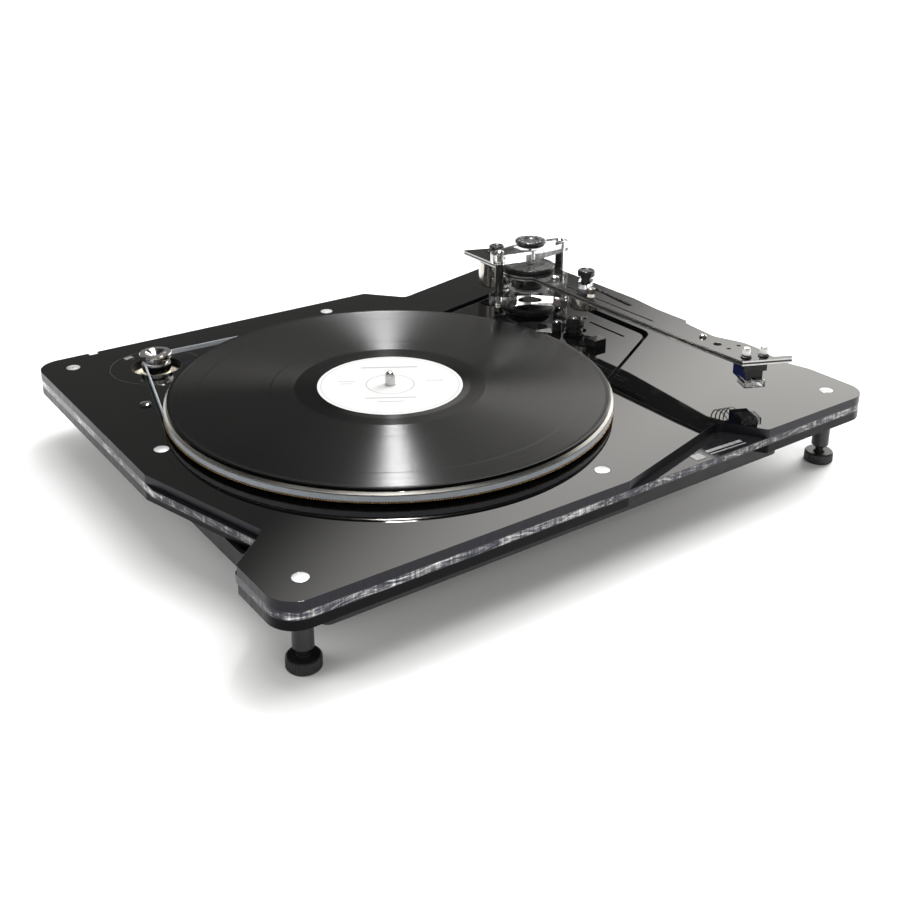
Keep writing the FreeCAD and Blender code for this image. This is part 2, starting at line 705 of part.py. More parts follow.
def layer_bolts():
    bolts = []
    for x, y in bolt_places():
        head = disc(x, y, CAP_R, DECK_Z - CAP_DEPTH, DECK_Z)
        crown = dome(x, y, CAP_R, DECK_Z, CAP_DOME)
        shank = disc(x, y, BOLT_R, CLEAR_PLATE_Z - BOLT_BITE, DECK_Z - CAP_DEPTH)
        bolts.append(head.fuse([crown, shank]))
    return Part.makeCompound(bolts)


def tray_box():
    """Left, front, right and rear of the tray."""
    return (-HALF_L + TRAY_INSET_LEFT, -HALF_W + TRAY_INSET_FRONT,
            HALF_L - TRAY_INSET_RIGHT, HALF_W - TRAY_INSET_REAR)


def tray_corners(wall):
    """Tray outline moved in by wall, with bites round the left and rear legs."""
    left, front, right, rear = tray_box()
    leg_x, leg_y = leg_places()["left"]
    rear_x, rear_y = leg_places()["rear"]
    reach = LEG_R + LEG_BITE_GAP + wall
    bite_r = max(LEG_R - wall, 1.0)
    outer_r = max(TRAY_CORNER_R - wall, 1.0)
    inside_r = LEG_R + wall / 2
    return [
        (leg_x + reach, front + wall, bite_r),
        (right - wall, front + wall, outer_r),
        (right - wall, rear - wall, outer_r),
        (rear_x + reach, rear - wall, LEG_BITE_R),
        (rear_x + reach, rear_y - reach, inside_r),
        (rear_x - reach, rear_y - reach, inside_r),
        (rear_x - reach, rear - wall, LEG_BITE_R),
        (left + wall, rear - wall, outer_r),
        (left + wall, leg_y + reach, LEG_BITE_R),
        (leg_x + reach, leg_y + reach, inside_r),
    ]


def base_tray():
    tray = prism(rounded_loop(tray_corners(0)), TRAY_UNDERSIDE_Z, BOTTOM_PLATE_Z)
    inner = rounded_loop(tray_corners(TRAY_WALL))
    cuts = [prism(inner, TRAY_UNDERSIDE_Z + TRAY_FLOOR, BOTTOM_PLATE_Z + THROUGH)]
    wall_y, middle_z = rear_middle()
    bores = [(INLET_X, INLET_NOSE_R + RUNNING)]
    bores += [(x, SOCKET_TAIL_R + RUNNING) for x in socket_places()]
    for x, radius in bores:
        cuts.append(rearward(x, wall_y - THROUGH, middle_z, radius, TRAY_WALL + 2 * THROUGH))
    return tray.cut(cuts)


def leg_columns():
    legs = []
    for x, y in leg_places().values():
        column = turned(x, y, [
            (0, LEG_BOTTOM_Z), (LEG_R - LEG_BEVEL, LEG_BOTTOM_Z), (LEG_R, LEG_BOTTOM_Z + LEG_BEVEL),
            (LEG_R, BOTTOM_PLATE_Z), (0, BOTTOM_PLATE_Z),
        ])
        spigot = disc(x, y, BOLT_R, BOTTOM_PLATE_Z, BOTTOM_PLATE_Z + LEG_SPIGOT)
        bore_top = LEG_BOTTOM_Z + FOOT_STUD_REACH + THROUGH
        bore = disc(x, y, FOOT_STUD_R + RUNNING, LEG_BOTTOM_Z - THROUGH, bore_top)
        legs.append(column.fuse(spigot).cut(bore))
    return Part.makeCompound(legs)


def levelling_foot(x, y):
    head = knurled(x, y, FOOT_R, 0, FOOT_HEIGHT, FOOT_TEETH, FOOT_EDGE)
    stud = disc(x, y, FOOT_STUD_R, FOOT_HEIGHT, LEG_BOTTOM_Z + FOOT_STUD_REACH)
    proud, high = FOOT_COLLAR
    collar = disc(x, y, FOOT_STUD_R + proud, FOOT_HEIGHT, FOOT_HEIGHT + high)
    return head.fuse([stud, collar])


# ---- platter pieces ----------------------------------------------------------
def platter():
    bore_r = SPINDLE_R + RUNNING
    profile = [
        (bore_r, PLATTER_Z), (PLATTER_R - PLATTER_EDGE, PLATTER_Z),
        (PLATTER_R, PLATTER_Z + PLATTER_EDGE),
        (PLATTER_R, TRACK_Z), (TRACK_R, TRACK_Z), (TRACK_R, TRACK_TOP_Z),
        (PLATTER_R - GROOVE_DEPTH, TRACK_TOP_Z), (PLATTER_R - GROOVE_DEPTH, RIM_Z),
        (PLATTER_R, RIM_Z), (PLATTER_R, PLATTER_TOP_Z - RIM_BEVEL),
        (PLATTER_R - RIM_BEVEL, PLATTER_TOP_Z), (MAT_R, PLATTER_TOP_Z),
        (MAT_R, PLATTER_TOP_Z - MAT_T), (bore_r, PLATTER_TOP_Z - MAT_T),
    ]
    return turned(SPINDLE_X, SPINDLE_Y, profile)


def platter_mat():
    low = PLATTER_TOP_Z - MAT_T
    high = PLATTER_TOP_Z - FACE_GAP
    return tube(SPINDLE_X, SPINDLE_Y, MAT_R - RUNNING, RECORD_HOLE_R, low, high)


def vinyl_record():
    groove_z = RECORD_TOP_Z - RECORD_SINK
    low = PLATTER_TOP_Z
    profile = [
        (RECORD_HOLE_R, low), (RECORD_R - RECORD_EDGE, low), (RECORD_R, low + RECORD_EDGE),
        (RECORD_R, RECORD_TOP_Z - RECORD_EDGE), (RECORD_R - RECORD_EDGE, RECORD_TOP_Z),
        (RECORD_BEAD_R, RECORD_TOP_Z), (RECORD_GROOVE_R, groove_z),
        (RECORD_DEAD_WAX_R, groove_z), (LABEL_R + LABEL_MARGIN, RECORD_TOP_Z),
        (LABEL_R, RECORD_TOP_Z), (LABEL_R, RECORD_TOP_Z - LABEL_T),
        (RECORD_HOLE_R, RECORD_TOP_Z - LABEL_T),
    ]
    return turned(SPINDLE_X, SPINDLE_Y, profile)


def record_label():
    low = RECORD_TOP_Z - LABEL_T
    return tube(SPINDLE_X, SPINDLE_Y, LABEL_R, RECORD_HOLE_R, low, RECORD_TOP_Z)


def shaft_bottom():
    return HOUSING_FLOOR_Z + HOUSING_FLOOR_T + 2 * BALL_R - BALL_SEAT + FACE_GAP


def spindle():
    top = RECORD_TOP_Z + SPINDLE_ABOVE_RECORD
    shoulder_z = PLATTER_Z - SHAFT_SHOULDER_T
    relief_z = RECORD_TOP_Z - SPINDLE_RELIEF
    profile = [
        (0, shaft_bottom()), (SHAFT_R - 0.5, shaft_bottom()), (SHAFT_R, shaft_bottom() + 0.5),
        (SHAFT_R, shoulder_z), (SHAFT_SHOULDER_R, shoulder_z), (SHAFT_SHOULDER_R, PLATTER_Z),
        (SPINDLE_R, PLATTER_Z), (SPINDLE_R, relief_z), (SPINDLE_RELIEF_R, relief_z),
        (SPINDLE_RELIEF_R, RECORD_TOP_Z), (SPINDLE_R, RECORD_TOP_Z), (SPINDLE_R, top - SPINDLE_NOSE),
    ]
    for step in range(1, 6):
        angle = math.pi / 2 * step / 5
        profile.append((SPINDLE_R * math.cos(angle), top - SPINDLE_NOSE * (1 - math.sin(angle))))
    return turned(SPINDLE_X, SPINDLE_Y, profile)


def bearing_housing():
    body = disc(SPINDLE_X, SPINDLE_Y, HOUSING_R, HOUSING_FLOOR_Z, DECK_Z)
    flange = disc(SPINDLE_X, SPINDLE_Y, HOUSING_FLANGE_R, DECK_Z, DECK_Z + HOUSING_FLANGE_T)
    well_z = HOUSING_FLOOR_Z + HOUSING_FLOOR_T
    well = disc(SPINDLE_X, SPINDLE_Y, BUSH_R, well_z, DECK_Z + 2 * THROUGH)
    seat = disc(SPINDLE_X, SPINDLE_Y, BALL_R * 0.8, well_z - BALL_SEAT, well_z + THROUGH)
    return body.fuse(flange).cut([well, seat])


def bearing_bush():
    low = shaft_bottom() + 1.0
    return tube(SPINDLE_X, SPINDLE_Y, BUSH_R, SHAFT_R + RUNNING, low, DECK_Z - 0.5)


def thrust_ball():
    centre_z = shaft_bottom() - FACE_GAP - BALL_R
    well_z = HOUSING_FLOOR_Z + HOUSING_FLOOR_T
    flat = disc(SPINDLE_X, SPINDLE_Y, BALL_R, well_z - BALL_SEAT, centre_z + BALL_R)
    return Part.makeSphere(BALL_R, vec(SPINDLE_X, SPINDLE_Y, centre_z)).common(flat)


# ---- drive pieces ------------------------------------------------------------
def drive_belt():
    platter_at = (SPINDLE_X, SPINDLE_Y)
    motor_at = (MOTOR_X, MOTOR_Y)
    high = BELT_Z + BELT_HEIGHT
    loops = []
    for grow in (RUNNING + BELT_T, RUNNING):
        loop = link_loop(platter_at, TRACK_R + grow, motor_at, PULLEY_STEP_33_R + grow)
        loops.append(loop)
    outer = prism(loops[0], BELT_Z, high)
    return outer.cut(prism(loops[1], BELT_Z - THROUGH, high + THROUGH))


def pulley():
    low = DECK_Z - PULLEY_DROP
    step_z = TRACK_TOP_Z + PULLEY_EDGE
    flange_z = RECORD_TOP_Z - PULLEY_FLANGE_T
    profile = [
        (MOTOR_SHAFT_R, low), (PULLEY_SKIRT_R, low), (PULLEY_SKIRT_R, TRACK_Z - PULLEY_EDGE),
        (PULLEY_STEP_33_R, TRACK_Z), (PULLEY_STEP_33_R, TRACK_TOP_Z),
        (PULLEY_STEP_45_R, step_z), (PULLEY_STEP_45_R, flange_z - PULLEY_EDGE),
        (PULLEY_FLANGE_R, flange_z), (PULLEY_FLANGE_R, RECORD_TOP_Z - PULLEY_EDGE),
        (PULLEY_FLANGE_R - PULLEY_EDGE, RECORD_TOP_Z), (PULLEY_DISH_R, RECORD_TOP_Z),
        (MOTOR_SHAFT_R + PULLEY_HUB, RECORD_TOP_Z - PULLEY_DISH_DEPTH),
        (MOTOR_SHAFT_R, RECORD_TOP_Z - PULLEY_DISH_DEPTH),
    ]
    return turned(MOTOR_X, MOTOR_Y, profile)


def motor_shaft():
    low = MOTOR_FLOOR_Z + MOTOR_CASE_FLOOR
    return disc(MOTOR_X, MOTOR_Y, MOTOR_SHAFT_R, low, RECORD_TOP_Z - PULLEY_DISH_DEPTH)


def motor_plate():
    plate = tube(MOTOR_X, MOTOR_Y, MOTOR_PLATE_R, MOTOR_WINDOW_R, TOP_PLATE_Z, DECK_Z)
    mark_x = MOTOR_X + MOTOR_PLATE_R * MARK_AT[0]
    mark_y = MOTOR_Y + MOTOR_PLATE_R * MARK_AT[1] - MARK_SIZE / 2
    size = (MARK_SIZE, MARK_SIZE, MARK_DEPTH + THROUGH)
    return plate.cut(block(mark_x, mark_y, DECK_Z - MARK_DEPTH, size))


def motor_body():
    body = disc(MOTOR_X, MOTOR_Y, MOTOR_BODY_R, MOTOR_FLOOR_Z, TOP_PLATE_Z)
    bore_r = MOTOR_SHAFT_R + RUNNING
    bore_z = MOTOR_FLOOR_Z + MOTOR_CASE_FLOOR - FACE_GAP
    bore = disc(MOTOR_X, MOTOR_Y, bore_r, bore_z, TOP_PLATE_Z + THROUGH)
    seam_z = MOTOR_FLOOR_Z + MOTOR_SEAM_UP
    seam_r = MOTOR_BODY_R - MOTOR_SEAM
    seam = tube(MOTOR_X, MOTOR_Y, MOTOR_BODY_R + THROUGH, seam_r, seam_z, seam_z + MOTOR_SEAM)
    return body.cut([bore, seam])


def speed_button():
    pcb_top = TRAY_UNDERSIDE_Z + TRAY_FLOOR + BOARD_PCB_STANDOFF + BOARD_PCB_T
    stem_z = pcb_top + SWITCH_HEIGHT + BUTTON_TRAVEL + FACE_GAP
    flange_top = TOP_PLATE_Z - FACE_GAP
    shoulder_z = DECK_Z + BUTTON_PROUD - BUTTON_DOME
    cap = disc(BUTTON_X, BUTTON_Y, BUTTON_R, flange_top, shoulder_z)
    crown = dome(BUTTON_X, BUTTON_Y, BUTTON_R, shoulder_z, BUTTON_DOME)
    flange_z = flange_top - BUTTON_FLANGE_T
    flange = disc(BUTTON_X, BUTTON_Y, BUTTON_FLANGE_R, flange_z, flange_top)
    stem = disc(BUTTON_X, BUTTON_Y, BUTTON_STEM_R, stem_z, flange_z)
    return cap.fuse([crown, flange, stem])


# ---- electronics -------------------------------------------------------------
def circuit_board():
    floor_z = TRAY_UNDERSIDE_Z + TRAY_FLOOR
    low = floor_z + BOARD_PCB_STANDOFF
    high = low + BOARD_PCB_T
    board = block(BOARD_PCB_X, BOARD_PCB_Y, low, (BOARD_PCB_LENGTH, BOARD_PCB_WIDTH, BOARD_PCB_T))
    pieces = [block(BUTTON_X, BUTTON_Y, high, (SWITCH_SIZE, SWITCH_SIZE, SWITCH_HEIGHT))]
    pieces.append(block(BOARD_PCB_X, BOARD_PCB_Y, high, PCB_CHIP))
    for offset in PCB_ROW_X:
        x = BOARD_PCB_X + offset
        top = high + PCB_CAPACITOR_HEIGHT
        pieces.append(disc(x, BOARD_PCB_Y + PCB_CAPACITOR_Y, PCB_CAPACITOR_R, high, top))
        pieces.append(block(x, BOARD_PCB_Y + PCB_RELAY_Y, high, PCB_RELAY))
    for side_x in (-1, 1):
        for side_y in (-1, 1):
            x = BOARD_PCB_X + side_x * (BOARD_PCB_LENGTH / 2 - PCB_POST_INSET)
            y = BOARD_PCB_Y + side_y * (BOARD_PCB_WIDTH / 2 - PCB_POST_INSET)
            pieces.append(disc(x, y, PCB_POST_R, floor_z, low))
    return board.fuse(pieces)


def socket_places():
    return [SOCKET_X, SOCKET_X + SOCKET_PITCH]


def rear_middle():
    """Inside face of the tray's rear wall and the mid height of its hollow."""
    middle_z = (TRAY_UNDERSIDE_Z + TRAY_FLOOR + BOTTOM_PLATE_Z) / 2
    return tray_box()[3] - TRAY_WALL, middle_z


def rearward(x, start_y, middle_z, radius, length):
    return Part.makeCylinder(radius, length, vec(x, start_y, middle_z), vec(0, 1, 0))


def power_inlet():
    wall_y, middle_z = rear_middle()
    width, depth, height = INLET_BODY
    corner = vec(INLET_X - width / 2, wall_y - depth, middle_z - height / 2)
    body = Part.makeBox(width, depth, height, corner)
    nose = rearward(INLET_X, wall_y, middle_z, INLET_NOSE_R, TRAY_WALL + INLET_NOSE)
    mouth_y = wall_y + TRAY_WALL + INLET_NOSE
    bore = rearward(INLET_X, mouth_y - INLET_BORE_DEPTH, middle_z, INLET_BORE_R,
                    INLET_BORE_DEPTH + THROUGH)
    pin = rearward(INLET_X, mouth_y - INLET_BORE_DEPTH, middle_z, INLET_PIN_R,
                   INLET_BORE_DEPTH - 1.0)
    return body.fuse(nose).cut(bore).fuse(pin)


def phono_sockets():
    wall_y, middle_z = rear_middle()
    face_y = wall_y + TRAY_WALL
    sockets = []
    for x in socket_places():
        tail = rearward(x, wall_y - SOCKET_TAIL, middle_z, SOCKET_TAIL_R, SOCKET_TAIL + TRAY_WALL)
        nut = rearward(x, face_y, middle_z, SOCKET_NUT_R, SOCKET_NUT_T)
        barrel = rearward(x, face_y + SOCKET_NUT_T, middle_z, SOCKET_BARREL_R, SOCKET_BARREL)
        mouth_y = face_y + SOCKET_NUT_T + SOCKET_BARREL
        bore = rearward(x, face_y, middle_z, SOCKET_BORE_R, mouth_y - face_y + THROUGH)
        sockets.append(tail.fuse([nut, barrel]).cut(bore))
    return Part.makeCompound(sockets)


# ---- tonearm base and bridge -------------------------------------------------
def arm_column():
    top = LOWER_BRIDGE_Z
    flange_z = DECK_Z + COLUMN_FLANGE_T
    ring = (top - flange_z) / 5
    profile = [
        (0, TOP_PLATE_Z), (COLUMN_SPIGOT_R, TOP_PLATE_Z), (COLUMN_SPIGOT_R, DECK_Z),
        (COLUMN_FLANGE_R, DECK_Z), (COLUMN_FLANGE_R, flange_z - 0.5),
        (COLUMN_FLANGE_R - 0.5, flange_z), (COLUMN_R, flange_z), (COLUMN_R, flange_z + ring),
        (COLUMN_R - 1, flange_z + ring), (COLUMN_R - 1, flange_z + 2 * ring),
        (COLUMN_R, flange_z + 2 * ring), (COLUMN_R, flange_z + 3 * ring),
        (COLUMN_R - 1, flange_z + 3 * ring), (COLUMN_R - 1, flange_z + 4 * ring),
        (COLUMN_R, flange_z + 4 * ring), (COLUMN_R, top), (0, top),
    ]
    return turned(PIVOT_X, PIVOT_Y, profile)


def flange_nuts():
    angle = math.radians(NUT_ANGLE)
    low = DECK_Z + COLUMN_FLANGE_T
    nuts = []
    for side in (-1, 1):
        x, y = from_pivot(side * NUT_RADIUS_AT * math.cos(angle),
                          side * NUT_RADIUS_AT * math.sin(angle))
        nuts.append(knurled(x, y, NUT_R, low, low + NUT_T, SCREW_TEETH, 0.4))
    return Part.makeCompound(nuts)


def post_places():
    return [from_pivot(-BRIDGE_REACH, 0), from_pivot(BRIDGE_REACH, 0)]


def bridge_screw_holes(low, high):
    return [disc(x, y, BRIDGE_SCREW_R + ASSEMBLY, low, high) for x, y in post_places()]


def lower_bridge_plate():
    low, high = LOWER_BRIDGE_Z, POST_Z
    pivot = (PIVOT_X, PIVOT_Y)
    lobes = post_places() + [from_pivot(*FRONT_LOBE)]
    arms = [prism(link_loop(pivot, LOWER_HUB_R, lobe, LOBE_R), low, high) for lobe in lobes]
    body = arms[0].fuse(arms[1:]).removeSplitter()
    return body.cut(bridge_screw_holes(low - THROUGH, high + THROUGH))


def upper_bridge_plate():
    low, high = UPPER_BRIDGE_Z, BRIDGE_TOP_Z
    pivot = (PIVOT_X, PIVOT_Y)
    arms = [prism(link_loop(pivot, UPPER_HUB_R, lobe, LOBE_R - 0.5), low, high)
            for lobe in post_places()]
    body = arms[0].fuse(arms[1:]).removeSplitter()
    cuts = bridge_screw_holes(low - THROUGH, high + THROUGH)
    cuts.append(disc(PIVOT_X, PIVOT_Y, PIN_R + RUNNING, low - THROUGH, high + THROUGH))
    return body.cut(cuts)


def bridge_posts():
    thread_z = POST_THREAD + ASSEMBLY
    posts = []
    for x, y in post_places():
        post = disc(x, y, POST_R, POST_Z, UPPER_BRIDGE_Z)
        threads = [disc(x, y, BRIDGE_SCREW_R, POST_Z - THROUGH, POST_Z + thread_z),
                   disc(x, y, BRIDGE_SCREW_R, UPPER_BRIDGE_Z - thread_z, UPPER_BRIDGE_Z + THROUGH)]
        posts.append(post.cut(threads))
    return Part.makeCompound(posts)


def bridge_screws():
    thread_z = POST_THREAD
    head_top = BRIDGE_TOP_Z + BRIDGE_HEAD_T
    screws = []
    for x, y in post_places():
        shank = disc(x, y, BRIDGE_SCREW_R, UPPER_BRIDGE_Z - thread_z, BRIDGE_TOP_Z)
        head = disc(x, y, BRIDGE_HEAD_R, BRIDGE_TOP_Z, head_top - SCREW_DOME)
        crown = dome(x, y, BRIDGE_HEAD_R, head_top - SCREW_DOME, SCREW_DOME)
        screws.append(shank.fuse([head, crown]))
        shank = disc(x, y, BRIDGE_SCREW_R, LOWER_BRIDGE_Z, POST_Z + thread_z)
        head = disc(x, y, BRIDGE_HEAD_R, LOWER_BRIDGE_Z - BRIDGE_HEAD_T, LOWER_BRIDGE_Z)
        screws.append(shank.fuse(head))
    return Part.makeCompound(screws)


def bridge_knob():
    low = BRIDGE_TOP_Z + RUNNING
    high = low + KNOB_HEIGHT
    profile = [
        (0, low), (KNOB_R * 0.5, low), (KNOB_R * 0.5, low + 0.8), (KNOB_R - 2.6, low + 0.8),
        (KNOB_R - 1.2, low + 1.6), (KNOB_R - 1.2, low + 2.6), (KNOB_R - 2.0, low + 2.8),
        (KNOB_R - 2.0, low + 3.3), (KNOB_R, low + 3.7), (KNOB_R, high - 0.8),
        (KNOB_R - 0.8, high), (KNOB_R * 0.55, high), (KNOB_R * 0.5, high - 0.7), (0, high - 0.7),
    ]
    knob = turned(PIVOT_X, PIVOT_Y, profile)
    dimples = []
    for step in range(DIMPLES):
        angle = 2 * math.pi * (step + 0.25) / DIMPLES
        reach = KNOB_R * DIMPLE_AT
        x, y = from_pivot(reach * math.cos(angle), reach * math.sin(angle))
        dimples.append(disc(x, y, DIMPLE_R, high - DIMPLE_DEPTH, high + THROUGH))
    room_z = BRIDGE_TOP_Z + PIN_PROUD + THROUGH
    pin_room = disc(PIVOT_X, PIVOT_Y, PIN_R + RUNNING, low - THROUGH, room_z)
    return knob.cut(dimples + [pin_room])


def pivot_seat():
    return disc(PIVOT_X, PIVOT_Y, SEAT_R, POST_Z, POST_Z + SEAT_T)


# ---- tonearm gimbal ----------------------------------------------------------
def pivot_pin():
    return disc(PIVOT_X, PIVOT_Y, PIN_R, YAW_Z + PIN_SEAT, BRIDGE_TOP_Z + PIN_PROUD)


def along_x(x, y, z, radius, length):
    return Part.makeCylinder(radius, length, vec(x, y, z), vec(1, 0, 0))


def yaw_block():
    high = YAW_Z + YAW_BLOCK_T
    profile = [
        (0, YAW_Z), (YAW_BLOCK_R - 1, YAW_Z), (YAW_BLOCK_R, YAW_Z + 1), (YAW_BLOCK_R, high - 1.5),
        (YAW_BLOCK_R - 1.5, high), (0, high),
    ]
    body = turned(PIVOT_X, PIVOT_Y, profile)
    cuts = [disc(PIVOT_X, PIVOT_Y, PIN_R, YAW_Z + PIN_SEAT, high + THROUGH)]
    length = 2 * (YAW_BLOCK_R + THROUGH)
    start_x = PIVOT_X - YAW_BLOCK_R - THROUGH
    cuts.append(along_x(start_x, PIVOT_Y, GIMBAL_Z, GIMBAL_PIN_R, length))
    return body.cut(cuts)


def gimbal_pins():
    length = YOKE_INNER + YOKE_EAR_T - GIMBAL_INNER
    left_x = PIVOT_X - YOKE_INNER - YOKE_EAR_T
    return Part.makeCompound([
        along_x(left_x, PIVOT_Y, GIMBAL_Z, GIMBAL_PIN_R, length),
        along_x(PIVOT_X + GIMBAL_INNER, PIVOT_Y, GIMBAL_Z, GIMBAL_PIN_R, length),
    ])


def gimbal_yoke():
    """Ring under the beam with two ears that swing on the gimbal pins."""
    ring_z = BEAM_UNDERSIDE_Z - YOKE_RING_T
    outer_x = YOKE_INNER + YOKE_EAR_T
    ring = tube(PIVOT_X, PIVOT_Y, YOKE_RING_R, YOKE_INNER, ring_z, BEAM_UNDERSIDE_Z)
    ears = []
    for side in (-1, 1):
        x = PIVOT_X + side * (YOKE_INNER + outer_x) / 2
        ear_low = GIMBAL_Z - YOKE_EAR_WIDTH / 2
        size = (YOKE_EAR_T, YOKE_EAR_WIDTH, ring_z - ear_low)
        ears.append(block(x, PIVOT_Y, ear_low, size))
    start_x = PIVOT_X - outer_x - THROUGH
    bore = along_x(start_x, PIVOT_Y, GIMBAL_Z, GIMBAL_PIN_R + RUNNING, 2 * (outer_x + THROUGH))
    return ring.fuse(ears).cut(bore)


# ---- tonearm beam ------------------------------------------------------------
def head_point(across, back):
    """Point on the headshell: across its angled front edge, and back from that edge."""
    angle = math.radians(HEAD_ANGLE)
    start_x = BEAM_NEAR_X + HEAD_START[0]
    start_y = -BEAM_LENGTH + HEAD_START[1]
    x = start_x + across * math.cos(angle) - back * math.sin(angle)
    y = start_y + across * math.sin(angle) + back * math.cos(angle)
    return from_pivot(x, y)


def beam_corners():
    front = -BEAM_LENGTH
    return [
        (*from_pivot(BEAM_NEAR_X, LOBE_BLEND_Y), 0),
        (*from_pivot(BEAM_NEAR_X, front + 60.0), 0),
        (*head_point(0, 0), 1.5),
        (*head_point(FINGER_REACH - 1.0, 0), 1.2),
        (*head_point(FINGER_REACH, FINGER_WIDTH), 1.2),
        (*head_point(FINGER_ROOT, FINGER_WIDTH + 0.4), 2.0),
        (*from_pivot(NECK_X, front + NECK_BACK[0]), 5.0),
        (*from_pivot(NECK_X, front + NECK_BACK[1]), 5.0),
        (*from_pivot(WAIST_X, front + WAIST_BACK), 10.0),
        (*from_pivot(BEAM_FAR_X, BEAM_WIDE_Y), 10.0),
        (*from_pivot(BEAM_FAR_X, 0), 0),
        (*from_pivot(TAIL_X[1] + 1.0, LOBE_BLEND_Y), 0),
        (*from_pivot(TAIL_X[1], TAIL_LENGTH - TAIL_SKEW), 3.0),
        (*from_pivot(TAIL_X[0], TAIL_LENGTH), 1.5),
        (*from_pivot(TAIL_X[0] - 0.5, LOBE_BLEND_Y + 2.0), 4.0),
    ]


def slim_slot_ends():
    return from_pivot(SLIM_SLOT_X, SLIM_SLOT_Y[0]), from_pivot(SLIM_SLOT_X, SLIM_SLOT_Y[1])


def trim_direction():
    """Unit direction of the balance slot, towards the headshell."""
    angle = math.radians(TRIM_ANGLE)
    return -math.sin(angle), -math.cos(angle)


def balance_slot_ends():
    along_x_part, along_y_part = trim_direction()
    length = TRIM_TRAVEL + 2 * ASSEMBLY
    start = from_pivot(TRIM_AT[0], TRIM_AT[1])
    return start, (start[0] + length * along_x_part, start[1] + length * along_y_part)


def weight_slot_ends():
    start = from_pivot(*WEIGHT_AT)
    return start, (start[0], start[1] + WEIGHT_TRAVEL)


def cartridge_screw_places():
    across = FINGER_ROOT / 2
    half = CARTRIDGE_SCREW_PITCH / 2
    return [head_point(across + side * half, CARTRIDGE_SCREW_BACK) for side in (-1, 1)]


def beam_cuts(low, high):
    low, high = low - THROUGH, high + THROUGH
    cuts = [disc(PIVOT_X, PIVOT_Y, PIN_WINDOW_R, low, high)]
    cuts.append(slot(*slim_slot_ends(), SLIM_SLOT_WIDTH, low, high))
    cuts.append(slot(*balance_slot_ends(), BALANCE_SLOT_WIDTH, low, high))
    cuts.append(slot(*weight_slot_ends(), BALANCE_SLOT_WIDTH, low, high))
    shank_places = [place[:2] for place in BEAM_SCREWS + (HUB_SCREW,)] + [THUMBSCREW]
    holes = [(*from_pivot(x, y), SHANK_R) for x, y in shank_places]
    holes += [(x, y, CARTRIDGE_SCREW_R) for x, y in cartridge_screw_places()]
    finger_x, finger_back, finger_r = FINGER_HOLE
    holes.append((*from_pivot(finger_x, finger_back - BEAM_LENGTH), finger_r))
    holes += [(*from_pivot(x, back - BEAM_LENGTH), LEAD_HOLE_R) for x, back in LEAD_HOLES]
    cuts += [disc(x, y, radius, low, high) for x, y, radius in holes]
    return cuts


def beam_layer(low, high, inset):
    outline = beam_corners()
    if inset > 0:
        outline = widened(outline, [-inset] * len(outline))
        outline = [(x, y, max(radius, 0)) for x, y, radius in outline]
    plan = prism(rounded_loop(outline), low, high)
    lobe = disc(PIVOT_X, PIVOT_Y, BEAM_LOBE_R - inset, low, high)
    return plan.fuse(lobe).removeSplitter().cut(beam_cuts(low, high))


def beam_skins():
    return Part.makeCompound([
        beam_layer(BEAM_UNDERSIDE_Z, CORE_Z, 0),
        beam_layer(UPPER_SKIN_Z, BEAM_TOP_Z, 0),
    ])


def beam_core():
    return beam_layer(CORE_Z, UPPER_SKIN_Z, CORE_INSET)


def hub_disc():
    high = BEAM_TOP_Z + HUB_DISC_T
    profile = [
        (PIN_WINDOW_R, BEAM_TOP_Z), (HUB_DISC_R - 0.5, BEAM_TOP_Z), (HUB_DISC_R, BEAM_TOP_Z + 0.5),
        (HUB_DISC_R, high - 0.7), (HUB_DISC_R - 0.7, high), (HUB_DISC_R - 3.5, high),
        (HUB_DISC_R - 3.8, high - HUB_RECESS), (PIN_WINDOW_R, high - HUB_RECESS),
    ]
    screw_x, screw_y = from_pivot(*HUB_SCREW[:2])
    bore = disc(screw_x, screw_y, SHANK_R, BEAM_TOP_Z - THROUGH, high + THROUGH)
    return turned(PIVOT_X, PIVOT_Y, profile).cut(bore)


def dome_screw(x, y, head_r, under_head, reach):
    head = disc(x, y, head_r, under_head, under_head + SCREW_HEAD_T)
    crown = dome(x, y, head_r, under_head + SCREW_HEAD_T, SCREW_DOME)
    shank = disc(x, y, SHANK_R, under_head - reach, under_head)
    socket_z = under_head + SCREW_HEAD_T + 0.2
    socket = disc(x, y, head_r * SCREW_SOCKET, socket_z, under_head + SCREW_HEAD_T + 2 * SCREW_DOME)
    return head.fuse([crown, shank]).cut(socket)


def beam_screws():
    reach = BEAM_TOP_Z - BEAM_UNDERSIDE_Z
    screws = []
    for x, y, head_r in BEAM_SCREWS:
        screws.append(dome_screw(*from_pivot(x, y), head_r, BEAM_TOP_Z, reach))
    hub_x, hub_y, head_r = HUB_SCREW
    hub_top = BEAM_TOP_Z + HUB_DISC_T - HUB_RECESS
    screws.append(dome_screw(*from_pivot(hub_x, hub_y), head_r, hub_top, reach))
    x, y = from_pivot(*THUMBSCREW)
    head_z = BEAM_TOP_Z + THUMBSCREW_BASE
    base_r = THUMBSCREW_R - 0.1
    shank = disc(x, y, SHANK_R, BEAM_UNDERSIDE_Z, head_z)
    base = turned(x, y, [
        (0, BEAM_TOP_Z), (base_r, BEAM_TOP_Z), (base_r * 0.8, head_z), (0, head_z)])
    head = knurled(x, y, THUMBSCREW_R, head_z, head_z + THUMBSCREW_HEAD, SCREW_TEETH, 0.5)
    screws.append(shank.fuse([base, head]))
    return Part.makeCompound(screws)


